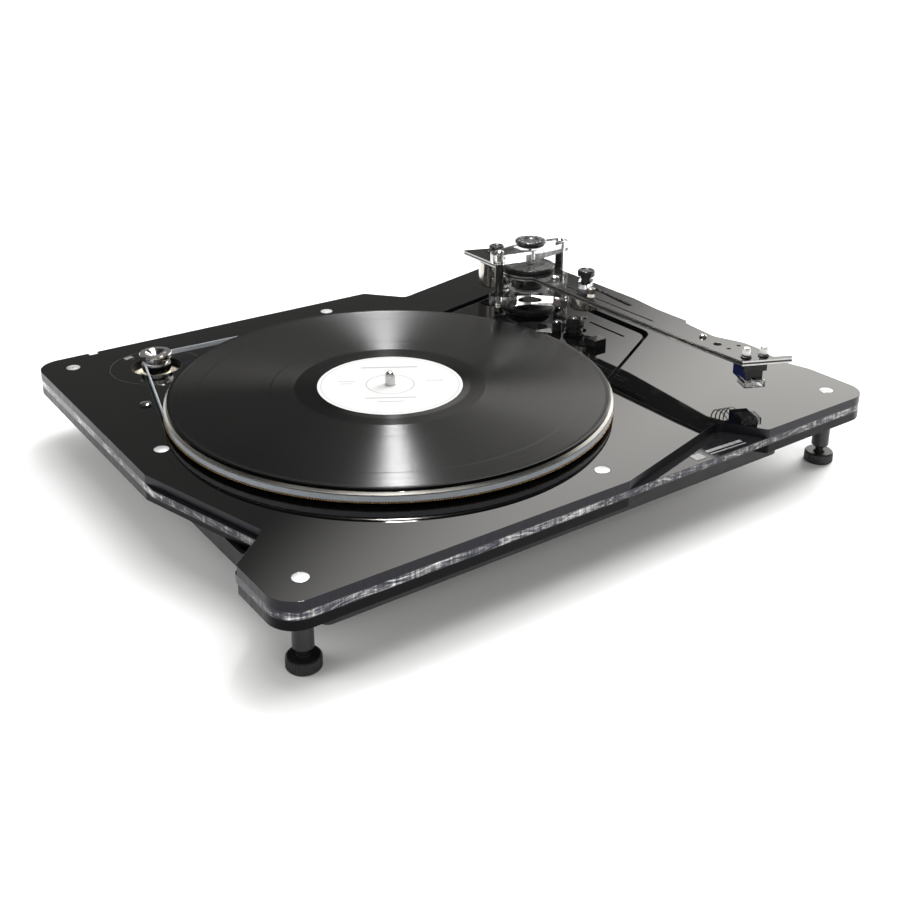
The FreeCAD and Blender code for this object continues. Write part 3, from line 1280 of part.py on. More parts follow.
# ---- tonearm weights ---------------------------------------------------------
def small_knob(x, y, radius, low, stem_low):
    """Black clamp knob with a waist, and its stem down to stem_low."""
    high = low + SMALL_KNOB_T
    profile = [
        (0, stem_low), (KNOB_STEM_R, stem_low), (KNOB_STEM_R, low), (radius * 0.6, low),
        (radius * 0.6, low + SMALL_KNOB_T * 0.4), (radius - 0.6, low + SMALL_KNOB_T * 0.45),
        (radius, low + SMALL_KNOB_T * 0.5), (radius, high - 0.8), (radius - 0.8, high),
        (radius * 0.72, high), (radius * 0.66, high - 0.6), (0, high - 0.6),
    ]
    return turned(x, y, profile)


def counterweight():
    x, y = from_pivot(*WEIGHT_AT)
    high = BEAM_UNDERSIDE_Z - FACE_GAP
    low = high - WEIGHT_HEIGHT
    profile = [
        (0, low), (WEIGHT_R - 0.8, low), (WEIGHT_R, low + 0.8), (WEIGHT_R, high - 0.8),
        (WEIGHT_R - 0.8, high), (0, high),
    ]
    stem = disc(x, y, KNOB_STEM_R, high - WEIGHT_HEIGHT / 2, high + THROUGH)
    side_screw = counterweight_side(WEIGHT_SCREW_R, WEIGHT_R * 0.5, WEIGHT_R + THROUGH)
    return turned(x, y, profile).cut([stem, side_screw])


def counterweight_side(radius, start, end):
    """Cylinder that points out of the counterweight's side, from start to end radius."""
    x, y = from_pivot(*WEIGHT_AT)
    angle = math.radians(WEIGHT_SCREW_ANGLE)
    out = vec(math.cos(angle), math.sin(angle))
    level = vec(x, y, BEAM_UNDERSIDE_Z - WEIGHT_HEIGHT * 0.62)
    return Part.makeCylinder(radius, end - start, level + out * start, out)


def counterweight_screw():
    shank = counterweight_side(WEIGHT_SCREW_R, WEIGHT_R * 0.5, WEIGHT_R)
    neck = counterweight_side(WEIGHT_SCREW_R * 0.8, WEIGHT_R, WEIGHT_R + 1.5)
    head = counterweight_side(WEIGHT_SCREW_HEAD_R, WEIGHT_R + 1.5, WEIGHT_R + 5.5)
    return shank.fuse([neck, head])


def counterweight_knob():
    x, y = from_pivot(*WEIGHT_AT)
    stem_low = BEAM_UNDERSIDE_Z - FACE_GAP - WEIGHT_HEIGHT / 2
    return small_knob(x, y, WEIGHT_KNOB_R, BEAM_TOP_Z + FACE_GAP, stem_low)


def trim_weight():
    x, y = from_pivot(*TRIM_AT)
    high = BEAM_UNDERSIDE_Z - FACE_GAP
    low = high - TRIM_HEIGHT
    profile = [
        (0, low), (TRIM_R - 1, low), (TRIM_R, low + 1), (TRIM_R, high - 0.6),
        (TRIM_R - 0.6, high), (0, high),
    ]
    stem = disc(x, y, KNOB_STEM_R, high - TRIM_HEIGHT / 2, high + THROUGH)
    return turned(x, y, profile).cut(stem)


def trim_plate():
    """Clear two-lobed clamp plate under the trim knob."""
    x, y = from_pivot(*TRIM_AT)
    low = BEAM_TOP_Z + FACE_GAP
    high = low + TRIM_PLATE_T
    lobes = [(x + across, y + along) for across, along in TRIM_PLATE_LOBES]
    arms = [prism(link_loop((x, y), TRIM_PLATE_HUB_R, lobe, TRIM_PLATE_LOBE_R), low, high)
            for lobe in lobes]
    body = arms[0].fuse(arms[1]).removeSplitter()
    return body.cut(disc(x, y, KNOB_STEM_R, low - THROUGH, high + THROUGH))


def trim_knob():
    x, y = from_pivot(*TRIM_AT)
    low = BEAM_TOP_Z + FACE_GAP + TRIM_PLATE_T
    return small_knob(x, y, TRIM_KNOB_R, low, BEAM_UNDERSIDE_Z - FACE_GAP - TRIM_HEIGHT / 2)


# ---- cartridge ---------------------------------------------------------------
def on_cartridge(across, back, low, size):
    """Box aligned with the headshell; across is measured from the cartridge's middle."""
    places = cartridge_screw_places()
    middle = ((places[0][0] + places[1][0]) / 2, (places[0][1] + places[1][1]) / 2)
    box = block(0, 0, low, size)
    front = CARTRIDGE_SETBACK - CARTRIDGE_SCREW_BACK
    box.translate(vec(across, back + size[1] / 2 + front))
    box.rotate(vec(0, 0), vec(0, 0, 1), HEAD_ANGLE)
    box.translate(vec(*middle))
    return box


def cartridge_spot(across, back):
    """Plan position on the cartridge, from its front middle."""
    return on_cartridge(across, back, 0, (0.01, 0.01, 0.01)).CenterOfMass


def cartridge_body():
    lower_z = CARTRIDGE_BOTTOM_Z
    waist_z = BEAM_UNDERSIDE_Z - CARTRIDGE_SHOULDER
    upper_size = (CARTRIDGE_WIDTH, CARTRIDGE_LENGTH, CARTRIDGE_SHOULDER)
    upper = on_cartridge(0, 0, waist_z, upper_size)
    size = (CARTRIDGE_LOWER_WIDTH, CARTRIDGE_LENGTH - 2 * CARTRIDGE_STEP, waist_z - lower_z)
    lower = on_cartridge(0, CARTRIDGE_STEP, lower_z, size)
    window = on_cartridge(0, 0.5, lower_z - THROUGH, (3.0, 7.0, THROUGH + STYLUS_RECESS))
    threads = [disc(x, y, CARTRIDGE_SCREW_R, waist_z, BEAM_UNDERSIDE_Z + THROUGH)
               for x, y in cartridge_screw_places()]
    return upper.fuse(lower).cut(threads + [window])


def cartridge_screws():
    screws = []
    for x, y in cartridge_screw_places():
        shank = disc(x, y, CARTRIDGE_SCREW_R, BEAM_UNDERSIDE_Z - 5.5, BEAM_TOP_Z)
        collar = disc(x, y, 1.9, BEAM_TOP_Z, BEAM_TOP_Z + 0.8)
        head_z = BEAM_TOP_Z + 0.8
        top_z = head_z + CARTRIDGE_HEAD_T
        head = knurled(x, y, CARTRIDGE_HEAD_R, head_z, top_z, SCREW_TEETH, 0.4)
        screws.append(shank.fuse([collar, head]))
    return Part.makeCompound(screws)


def cantilever():
    tip = cartridge_spot(0, STYLUS_BACK)
    root = cartridge_spot(0, 7.4)
    point_z = RECORD_TOP_Z + STYLUS_CLEARANCE
    tip.z = point_z + STYLUS_HEIGHT
    root.z = CARTRIDGE_BOTTOM_Z + STYLUS_RECESS * 0.4
    rod = Part.makeCylinder(CANTILEVER_R, (tip - root).Length, root, tip - root)
    diamond = Part.makeCone(0.05, CANTILEVER_R, STYLUS_HEIGHT, vec(tip.x, tip.y, point_z))
    return rod.fuse(diamond)


def stylus_guard():
    """Clear U-shaped guard clipped to the cartridge's sides, open under the stylus."""
    low = RECORD_TOP_Z + STYLUS_CLEARANCE
    outer_size = (CARTRIDGE_LOWER_WIDTH + 2 * GUARD_WALL, GUARD_LENGTH, GUARD_HEIGHT)
    guard = on_cartridge(0, -GUARD_PROUD, low, outer_size)
    inner_size = (CARTRIDGE_LOWER_WIDTH + ASSEMBLY, GUARD_LENGTH + 2 * GUARD_WALL, GUARD_HEIGHT)
    hollow = on_cartridge(0, GUARD_WALL - GUARD_PROUD, low + GUARD_FLOOR, inner_size)
    window_size = (GUARD_WINDOW, GUARD_WINDOW, GUARD_HEIGHT)
    window = on_cartridge(0, STYLUS_BACK - GUARD_WINDOW / 2, low - THROUGH, window_size)
    return guard.cut([hollow, window])


def cartridge_leads():
    rear = CARTRIDGE_LENGTH
    level = BEAM_UNDERSIDE_Z - LEAD_DROP
    leads = []
    for index in range(LEADS):
        across = LEAD_PITCH * (index - (LEADS - 1) / 2)
        start = cartridge_spot(across, rear)
        corner = cartridge_spot(across * 0.8, rear + LEAD_RUN)
        end = vec(corner.x, corner.y, BEAM_UNDERSIDE_Z)
        route = [(start.x, start.y, level), (corner.x, corner.y, level), tuple(end)]
        leads.append(bent_tube(route, LEAD_R, LEAD_BEND))
    return Part.makeCompound(leads)


# ---- cueing ------------------------------------------------------------------
def cue_lift_body():
    high = DECK_Z + CUE_HEIGHT
    proud, base_t = CUE_BASE
    profile = [
        (0, DECK_Z), (CUE_R + proud, DECK_Z), (CUE_R + proud, DECK_Z + base_t),
        (CUE_R, DECK_Z + base_t), (CUE_R, high - 0.8), (CUE_R - 0.8, high), (0, high),
    ]
    bore = disc(CUE_X, CUE_Y, CUE_PLUNGER_R + RUNNING, DECK_Z + CUE_FLOOR, high + THROUGH)
    return turned(CUE_X, CUE_Y, profile).cut(bore)


def cue_plunger():
    high = DECK_Z + CUE_HEIGHT
    stem = disc(CUE_X, CUE_Y, CUE_PLUNGER_R, DECK_Z + CUE_FLOOR + FACE_GAP, high)
    return stem.fuse(dome(CUE_X, CUE_Y, CUE_PLUNGER_R, high, CUE_PLUNGER_DOME))


def cue_lever():
    low = DECK_Z + CUE_COLLAR_UP
    collar = tube(CUE_X, CUE_Y, CUE_COLLAR_R, CUE_R + RUNNING, low, low + CUE_COLLAR_T)
    angle = math.radians(CUE_LEVER_ANGLE)
    out = vec(math.cos(angle), math.sin(angle))
    start = vec(CUE_X, CUE_Y, low + CUE_COLLAR_T / 2) + out * (CUE_R + 0.6)
    handle = Part.makeCylinder(CUE_LEVER_R, CUE_LEVER_LENGTH - CUE_R, start, out)
    end = vec(CUE_X, CUE_Y, low + CUE_COLLAR_T / 2) + out * CUE_LEVER_LENGTH
    ring = Part.makeTorus(CUE_RING_R - CUE_RING_WIRE_R, CUE_RING_WIRE_R, end, vec(0, 0, 1))
    return collar.fuse([handle, ring])


def cue_post():
    dome_z = DECK_Z + CUE_POST_HEIGHT - CUE_POST_DOME
    column = disc(CUE_POST_X, CUE_POST_Y, CUE_POST_R, DECK_Z, dome_z)
    return column.fuse(dome(CUE_POST_X, CUE_POST_Y, CUE_POST_R, dome_z, CUE_POST_DOME))


def lead_block():
    body = block(BLOCK_X, BLOCK_Y, DECK_Z, BLOCK_SIZE)
    edges = [edge for edge in body.Edges if abs(edge.tangentAt(edge.FirstParameter).z) > 0.9]
    return body.makeFillet(BLOCK_EDGE_R, edges)


# ---- every node --------------------------------------------------------------
def nodes():
    legs = leg_places()
    makers = (
        top_plate, inner_board, clear_layer, bottom_plate, base_tray, layer_bolts,
        board_isolators, leg_columns, platter, platter_mat, vinyl_record, record_label, spindle,
        bearing_housing, bearing_bush, thrust_ball, drive_belt, motor_plate, motor_body,
        motor_shaft, pulley, speed_button, circuit_board, power_inlet, phono_sockets, arm_column,
        flange_nuts, lower_bridge_plate, pivot_seat, bridge_posts, upper_bridge_plate,
        bridge_screws, bridge_knob, pivot_pin, yaw_block, gimbal_pins, gimbal_yoke, hub_disc,
        beam_skins, beam_core, beam_screws, counterweight, counterweight_knob,
        counterweight_screw, trim_weight, trim_plate, trim_knob, cartridge_body,
        cartridge_screws, cantilever, stylus_guard, cartridge_leads, cue_lift_body, cue_plunger,
        cue_lever, cue_post, lead_block,
    )
    for maker in makers:
        yield maker.__name__, maker()
    for side, (x, y) in legs.items():
        yield "foot_" + side, levelling_foot(x, y)


os.makedirs("parts", exist_ok=True)
for node, shape in nodes():
    shape.exportStep("parts/" + node + ".step")
    print(node, len(shape.Solids), round(shape.Volume), shape.isValid())
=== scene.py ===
"""Looks for the turntable record player: finishes on the CAD pieces, fine detail, light, camera.

Everything is in metres, in the CAD model's frame: X along the front edge, Y to the rear, Z up.
"""
import math

import bmesh
import bpy
from mathutils import Matrix, Vector


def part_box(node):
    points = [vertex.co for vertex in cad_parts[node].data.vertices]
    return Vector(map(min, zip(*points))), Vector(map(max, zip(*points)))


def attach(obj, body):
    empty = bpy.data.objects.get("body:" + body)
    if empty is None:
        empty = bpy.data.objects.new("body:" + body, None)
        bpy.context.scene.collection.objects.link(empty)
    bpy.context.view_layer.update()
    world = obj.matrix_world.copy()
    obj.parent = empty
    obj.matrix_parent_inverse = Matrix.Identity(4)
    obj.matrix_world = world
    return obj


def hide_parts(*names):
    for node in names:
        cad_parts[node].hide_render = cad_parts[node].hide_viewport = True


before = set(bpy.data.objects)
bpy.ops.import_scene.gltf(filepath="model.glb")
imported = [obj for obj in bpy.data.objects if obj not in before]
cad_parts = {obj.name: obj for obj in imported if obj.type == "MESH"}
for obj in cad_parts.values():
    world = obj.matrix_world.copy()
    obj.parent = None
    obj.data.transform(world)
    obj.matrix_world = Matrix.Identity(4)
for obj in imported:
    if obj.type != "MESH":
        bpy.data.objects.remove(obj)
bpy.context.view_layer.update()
MM = 0.001


def middle(node):
    low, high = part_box(node)
    return (Vector(low) + Vector(high)) / 2


def top_of(node):
    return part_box(node)[1][2]


SPINDLE = middle("vinyl_record")
RECORD_TOP = top_of("vinyl_record")
DECK_TOP = top_of("top_plate")
MOTOR = middle("pulley")
PIVOT = middle("pivot_pin")
BEAM_TOP = top_of("beam_skins")
LAYER_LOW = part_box("clear_layer")[0][2]
LAYER_HIGH = top_of("clear_layer")


# ---- node tree helpers -------------------------------------------------------
def place(tree, kind, inputs=None, **settings):
    """Adds a node; inputs are values or output sockets, by socket name or number."""
    node = tree.nodes.new(kind)
    for name, value in settings.items():
        setattr(node, name, value)
    for key, value in (inputs or {}).items():
        if isinstance(value, bpy.types.NodeSocket):
            tree.links.new(value, node.inputs[key])
        else:
            node.inputs[key].default_value = value
    return node


def maths(tree, operation, first, second=0.0):
    return place(tree, "ShaderNodeMath", {0: first, 1: second}, operation=operation).outputs[0]


def mapped(tree, value, low, high, new_low, new_high, blend="LINEAR"):
    return place(tree, "ShaderNodeMapRange", {
        "Value": value, "From Min": low, "From Max": high, "To Min": new_low, "To Max": new_high},
        interpolation_type=blend).outputs["Result"]


def smooth(tree, value, low, high, new_low, new_high):
    """Like mapped, with a soft start and end; high may be the smaller one."""
    if low > high:
        low, high, new_low, new_high = high, low, new_high, new_low
    return mapped(tree, value, low, high, new_low, new_high, blend="SMOOTHSTEP")


def blend_colours(tree, factor, first, second):
    return place(tree, "ShaderNodeMix", {0: factor, 6: first, 7: second},
                 data_type="RGBA").outputs[2]


def blend_values(tree, factor, first, second):
    return place(tree, "ShaderNodeMix", {0: factor, 2: first, 3: second}).outputs[0]


def own_point(tree):
    """The shaded point in the piece's own frame, in metres."""
    return place(tree, "ShaderNodeTexCoord").outputs["Object"]


def stretched(tree, point, scale, rotation=(0.0, 0.0, 0.0)):
    return place(tree, "ShaderNodeMapping", {
        "Vector": point, "Scale": scale, "Rotation": rotation}).outputs[0]


def noise(tree, point, scale, detail, roughness=0.5, distortion=0.0):
    return place(tree, "ShaderNodeTexNoise", {
        "Vector": point, "Scale": scale, "Detail": detail, "Roughness": roughness,
        "Distortion": distortion}).outputs[0]


def axes(tree, vector):
    return place(tree, "ShaderNodeSeparateXYZ", {0: vector}).outputs


def vector_maths(tree, operation, inputs, output="Vector"):
    return place(tree, "ShaderNodeVectorMath", inputs, operation=operation).outputs[output]


def face_normal(tree):
    return place(tree, "ShaderNodeNewGeometry").outputs["Normal"]


def grey(value):
    return (value, value, value, 1.0)


def grey_of(tree, value):
    """Grey made from a value that changes over the surface."""
    return place(tree, "ShaderNodeCombineColor", {0: value, 1: value, 2: value}).outputs[0]


def scaled_tone(tone, factor):
    return tuple(part * factor for part in tone) + (1.0,)


def new_group(name, inputs, outputs):
    """Empty shader group with named sockets; inputs hold name, socket type and default."""
    tree = bpy.data.node_groups.new(name, "ShaderNodeTree")
    for label, kind, default in inputs:
        socket = tree.interface.new_socket(label, in_out="INPUT", socket_type="NodeSocket" + kind)
        socket.default_value = default
    for label, kind in outputs:
        tree.interface.new_socket(label, in_out="OUTPUT", socket_type="NodeSocket" + kind)
    start = tree.nodes.new("NodeGroupInput")
    end = tree.nodes.new("NodeGroupOutput")
    return tree, start.outputs, end.inputs


def socket_name(keyword):
    """A socket's own name from its spelling as a keyword."""
    return keyword.replace("_", " ").title().replace("Ior", "IOR")


def use_group(tree, group, **inputs):
    named = {socket_name(keyword): value for keyword, value in inputs.items()}
    return place(tree, "ShaderNodeGroup", named, node_tree=group).outputs


def feed(tree, shader, **sources):
    """Links sources to the shader's sockets, given by keyword."""
    for keyword, source in sources.items():
        tree.links.new(source, shader.inputs[socket_name(keyword)])


# ---- effects that several finishes share -------------------------------------
def make_handling_group():
    """Faint smudges and hairlines: a roughness, a bump height and the smudges' mask."""
    tree, given, result = new_group("handling_marks", [
        ("Roughness", "Float", 0.1), ("Smudge", "Float", 0.03), ("Hairline", "Float", 0.02),
        ("Scale", "Float", 12.0),
    ], [("Roughness", "Float"), ("Height", "Float"), ("Mask", "Float")])
    where = own_point(tree)
    cloud = noise(tree, where, given["Scale"], 3.0, roughness=0.55)
    drawn_out = stretched(tree, where, (20.0, 900.0, 60.0), rotation=(0.0, 0.0, 0.6))
    fine = mapped(tree, noise(tree, drawn_out, 1.0, 1.0), 0.62, 0.75, 0.0, 1.0)
    smudge = mapped(tree, cloud, 0.42, 0.68, 0.0, 1.0)
    added = maths(tree, "MULTIPLY", smudge, given["Smudge"])
    scratch = maths(tree, "MULTIPLY", fine, given["Hairline"])
    total = maths(tree, "ADD", maths(tree, "ADD", given["Roughness"], added), scratch)
    tree.links.new(total, result["Roughness"])
    tree.links.new(fine, result["Height"])
    tree.links.new(smudge, result["Mask"])
    return tree


def make_turned_group():
    """Fine turning marks round an upright axis: height, ring mask and distance from the axis."""
    tree, given, result = new_group("turned_rings", [
        ("Centre", "Vector", (0.0, 0.0, 0.0)), ("Pitch", "Float", 0.0004),
        ("Variation", "Float", 0.3),
    ], [("Height", "Float"), ("Mask", "Float"), ("Radius", "Float")])
    moved = vector_maths(tree, "SUBTRACT", {0: own_point(tree), 1: given["Centre"]})
    level = vector_maths(tree, "MULTIPLY", {0: moved, 1: (1.0, 1.0, 0.0)})
    reach = vector_maths(tree, "LENGTH", {0: level}, output="Value")
    turns = maths(tree, "DIVIDE", reach, given["Pitch"])
    wave = maths(tree, "SINE", maths(tree, "MULTIPLY", turns, 2 * math.pi))
    along = place(tree, "ShaderNodeCombineXYZ", {"X": maths(tree, "MULTIPLY", turns, 0.37)})
    uneven = noise(tree, along.outputs[0], 1.0, 2.0)
    spread = maths(tree, "MULTIPLY", uneven, given["Variation"])
    height = maths(tree, "ADD", maths(tree, "MULTIPLY", wave, 0.5), spread)
    tree.links.new(height, result["Height"])
    tree.links.new(uneven, result["Mask"])
    tree.links.new(reach, result["Radius"])
    return tree


def make_brushed_group():
    """Straight brushing along one direction: height and tone."""
    tree, given, result = new_group("straight_brushing", [
        ("Turn", "Float", 0.0), ("Fineness", "Float", 2600.0),
    ], [("Height", "Float"), ("Tone", "Float")])
    turn = place(tree, "ShaderNodeCombineXYZ", {"Z": given["Turn"]}).outputs[0]
    fineness = place(tree, "ShaderNodeCombineXYZ", {
        "X": given["Fineness"], "Y": 14.0, "Z": given["Fineness"]}).outputs[0]
    lines = noise(tree, stretched(tree, own_point(tree), fineness, rotation=turn), 1.0, 2.0)
    tree.links.new(lines, result["Height"])
    tree.links.new(mapped(tree, lines, 0.3, 0.7, 0.0, 1.0), result["Tone"])
    return tree


def make_grain_group():
    """Fine cast or blasted grain: its height and a slower cloud of tone."""
    tree, given, result = new_group("fine_grain", [
        ("Scale", "Float", 2500.0), ("Cloud Scale", "Float", 40.0),
    ], [("Height", "Float"), ("Cloud", "Float")])
    where = own_point(tree)
    tree.links.new(noise(tree, where, given["Scale"], 2.0), result["Height"])
    tree.links.new(noise(tree, where, given["Cloud Scale"], 4.0), result["Cloud"])
    return tree


HANDLING = make_handling_group()
TURNED = make_turned_group()
BRUSHED = make_brushed_group()
GRAIN = make_grain_group()


UPRIGHT_LIMIT = 0.4
QUARTER_TURN = 0.25


def start_material(name, **sockets):
    """New material with its Principled node; plain values come by keyword."""
    material = bpy.data.materials.new(name)
    material.use_nodes = True
    tree = material.node_tree
    shader = tree.nodes["Principled BSDF"]
    for keyword, value in sockets.items():
        shader.inputs[socket_name(keyword)].default_value = value
    return material, tree, shader


def side_mask(tree):
    """1 on upright faces, 0 on level ones."""
    upward = axes(tree, face_normal(tree))["Z"]
    return maths(tree, "LESS_THAN", maths(tree, "ABSOLUTE", upward), UPRIGHT_LIMIT)


def set_bump(tree, shader, height, strength, distance, bevel=0.0):
    """Bump from a height; a bevel radius also rounds the look of sharp edges."""
    bump = place(tree, "ShaderNodeBump", {
        "Height": height, "Strength": strength, "Distance": distance})
    if bevel > 0:
        rounded = place(tree, "ShaderNodeBevel", {"Radius": bevel})
        tree.links.new(rounded.outputs[0], bump.inputs["Normal"])
    tree.links.new(bump.outputs[0], shader.inputs["Normal"])


def follow_turning(tree, shader):
    """Stretches the sheen along circles round the piece's own upright middle line."""
    tangent = place(tree, "ShaderNodeTangent", direction_type="RADIAL", axis="Z")
    feed(tree, shader, tangent=tangent.outputs[0])
    shader.inputs["Anisotropic Rotation"].default_value = QUARTER_TURN


# ---- finishes ----------------------------------------------------------------
HEAD_TURN = math.radians(-24.0)
BODY_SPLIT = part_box("cartridge_body")[0][2] + 10.5 * MM
KNOB_DASHES = 14.0
KNOB_RING_R = 9.4 * MM
BLACK_FACE = (0.0018, 0.0018, 0.0019, 1)
RECORD_EDGE_R = 150.8 * MM
GROOVE_STOPS = ((0.43, 1.0), (0.538, 0.0), (0.5405, 1.0), (0.724, 0.0), (0.7265, 1.0),
                (0.861, 0.0), (0.8635, 1.0))
GROOVES_END = 0.982
LABEL_TURN = 0.55
LABEL_BARS = (
    ((0.0, 30.0 * MM), (20.0 * MM, 1.0 * MM)), ((-30.0 * MM, 6.0 * MM), (6.0 * MM, 0.5 * MM)),
    ((-30.0 * MM, 2.0 * MM), (4.0 * MM, 0.5 * MM)), ((31.0 * MM, 5.0 * MM), (6.0 * MM, 0.5 * MM)),
    ((0.0, -23.0 * MM), (17.0 * MM, 0.8 * MM)), ((0.0, -29.0 * MM), (9.0 * MM, 0.6 * MM)))
# painted shade: the clear layer's painted light falls from full at the left end to half at the
# right
LAYER_LIT_AT_X = (-220 * MM, 160 * MM)
# strength of the clear layer's painted glow; the layer is no lamp
LAYER_PAINTED_GLOW = 0.34


def black_acrylic(name, edge_tone):
    """Polished faces, satin sawn edges with fine upright cutter marks."""
    material, tree, shader = start_material(name, ior=1.49)
    marks = use_group(tree, HANDLING, roughness=0.02, smudge=0.015, hairline=0.01, scale=9.0)
    edge = side_mask(tree)
    sawn = noise(tree, stretched(tree, own_point(tree), (700.0, 700.0, 15.0)), 1.0, 2.0)
    rough_edge = mapped(tree, sawn, 0.3, 0.7, 0.30, 0.44)
    low_tone = (edge_tone * 0.6, edge_tone * 0.6, edge_tone * 0.72, 1)
    high_tone = (edge_tone, edge_tone, edge_tone * 1.18, 1)
    side = blend_colours(tree, sawn, low_tone, high_tone)
    feed(tree, shader, roughness=blend_values(tree, edge, marks["Roughness"], rough_edge),
         base_color=blend_colours(tree, edge, BLACK_FACE, side),
         metallic=maths(tree, "MULTIPLY", edge, 0.9))
    height = maths(tree, "MULTIPLY", sawn, edge)
    set_bump(tree, shader, height, 0.25, 0.1 * MM, bevel=0.3 * MM)
    return material


def clear_layer_with_painted_light():
    """Clear acrylic between black plates, not see-through: its edge is painted with light and dark
    streaks that stand in for light inside it, and glows with them.
    """
    material, tree, shader = start_material("clear_layer", ior=1.49, specular_ior_level=0.3)
    edge = side_mask(tree)
    where = own_point(tree)
    slanted = stretched(tree, where, (42.0, 42.0, 210.0), rotation=(0.5, 0.35, 0.0))
    shards = noise(tree, slanted, 1.0, 6.0, roughness=0.66, distortion=2.6)
    bars = noise(tree, stretched(tree, where, (420.0, 420.0, 6.0)), 1.0, 3.0, roughness=0.7)
    wide = noise(tree, where, 26.0, 1.0)
    streaks = maths(tree, "ADD", maths(tree, "MULTIPLY", shards, 0.52),
                    maths(tree, "MULTIPLY", bars, 0.26))
    streaks = maths(tree, "ADD", streaks, maths(tree, "MULTIPLY", wide, 0.24))
    # the ramp turns the streaks into painted light and shade
    ramp = place(tree, "ShaderNodeValToRGB", {0: streaks})
    stops = ramp.color_ramp.elements
    stops[0].position, stops[0].color = 0.40, (0.010, 0.011, 0.018, 1)
    stops[1].position, stops[1].color = 0.64, (0.80, 0.81, 0.80, 1)
    for position, colour in ((0.47, (0.03, 0.032, 0.045, 1)), (0.515, (0.10, 0.10, 0.115, 1)),
                             (0.55, (0.24, 0.24, 0.22, 1)), (0.59, (0.42, 0.44, 0.46, 1))):
        stops.new(position).color = colour
    spot = axes(tree, where)
    # painted shade: dimmer towards the right end of the layer
    shade = mapped(tree, spot["X"], *LAYER_LIT_AT_X, 1.0, 0.5)
    middle_height = (LAYER_LOW + LAYER_HIGH) / 2
    off_middle = maths(tree, "ABSOLUTE", maths(tree, "SUBTRACT", spot["Z"], middle_height))
    half = (LAYER_HIGH - LAYER_LOW) / 2
    # painted shade where the layer meets the black plates above and below
    painted_plate_shade = smooth(tree, off_middle, half * 0.72, half * 0.95, 1.0, 0.12)
    shade = maths(tree, "MULTIPLY", shade, painted_plate_shade)
    # painted shade: left-facing faces are dimmed to about half
    leftward = axes(tree, face_normal(tree))["X"]
    shade = maths(tree, "MULTIPLY", shade, mapped(tree, leftward, -0.9, -0.3, 0.55, 1.0))
    painted_edge_light = vector_maths(tree, "SCALE", {0: ramp.outputs[0], "Scale": shade})
    # the painted light and shade is both the edge's colour and its glow
    feed(tree, shader, base_color=blend_colours(tree, edge, (0.010, 0.010, 0.011, 1), painted_edge_light),
         emission_color=blend_colours(tree, edge, grey(0.0), painted_edge_light),
         roughness=mapped(tree, edge, 0.0, 1.0, 0.05, 0.14))
    shader.inputs["Emission Strength"].default_value = LAYER_PAINTED_GLOW
    set_bump(tree, shader, streaks, 0.3, 0.3 * MM)
    return material


def clear_acrylic(name, darkest_painted_streak, painted_glow_strength):
    """Solid clear acrylic: polished faces; cut edges painted with grey streaks of light and shade,
    with a painted glint that glows.
    """
    material, tree, shader = start_material(name, ior=1.49, transmission_weight=1.0)
    marks = use_group(tree, HANDLING, roughness=0.01, smudge=0.02, hairline=0.02, scale=60.0)
    edge = side_mask(tree)
    streaks = stretched(tree, own_point(tree), (160.0, 160.0, 60.0))
    cloud = noise(tree, streaks, 1.0, 3.0, distortion=0.8)
    # painted light and shade: grey streaks on the cut edges
    painted_edge_streaks = grey_of(tree, mapped(tree, cloud, 0.38, 0.62, darkest_painted_streak, 0.95))
    # painted glint on the cut edges, which glows as emission
    painted_glint = maths(tree, "MULTIPLY", edge, smooth(tree, cloud, 0.42, 0.60, 0.0, 1.0))
    edge_rough = mapped(tree, edge, 0.0, 1.0, 0.0, 0.06)
    feed(tree, shader, base_color=blend_colours(tree, edge, (0.86, 0.88, 0.88, 1), painted_edge_streaks),
         emission_color=grey_of(tree, painted_glint),
         roughness=maths(tree, "ADD", marks["Roughness"], edge_rough))
    shader.inputs["Emission Strength"].default_value = painted_glow_strength
    return material


def moulded_black(name, tone, roughness, grain_scale):
    """Black plastic or rubber with a fine grain."""
    material, tree, shader = start_material(name, ior=1.5)
    grain = use_group(tree, GRAIN, scale=grain_scale, cloud_scale=60.0)
    colour = blend_colours(tree, grain["Cloud"], grey(tone * 0.7), grey(tone * 1.3))
    rough = mapped(tree, grain["Cloud"], 0.3, 0.7, roughness - 0.05, roughness + 0.07)
    feed(tree, shader, base_color=colour, roughness=rough)
    set_bump(tree, shader, grain["Height"], 0.2, 0.08 * MM, bevel=0.2 * MM)
    return material


def anodised(name, tone, roughness, metal):
    """Bead-blasted and anodised alloy."""
    material, tree, shader = start_material(name, metallic=metal)
    grain = use_group(tree, GRAIN, scale=4200.0, cloud_scale=90.0)
    colour = blend_colours(tree, grain["Cloud"], grey(tone * 0.8), grey(tone * 1.2))
    rough = mapped(tree, grain["Cloud"], 0.3, 0.7, roughness - 0.04, roughness + 0.05)
    feed(tree, shader, base_color=colour, roughness=rough)
    set_bump(tree, shader, grain["Height"], 0.12, 0.05 * MM, bevel=0.3 * MM)
    return material


def turned_metal(name, tone, roughness, centre, pitch, anisotropic=0.5):
    """Bright metal with fine turning marks round an upright axis."""
    material, tree, shader = start_material(name, metallic=1.0, anisotropic=anisotropic)
    rings = use_group(tree, TURNED, centre=tuple(centre), pitch=pitch, variation=0.5)
    colour = blend_colours(tree, rings["Mask"], scaled_tone(tone, 0.88), scaled_tone(tone, 1.0))
    rough = mapped(tree, rings["Mask"], 0.3, 0.7, roughness * 0.7, roughness * 1.4)
    feed(tree, shader, base_color=colour, roughness=rough)
    follow_turning(tree, shader)
    set_bump(tree, shader, rings["Height"], 0.15, 0.04 * MM, bevel=0.2 * MM)
    return material


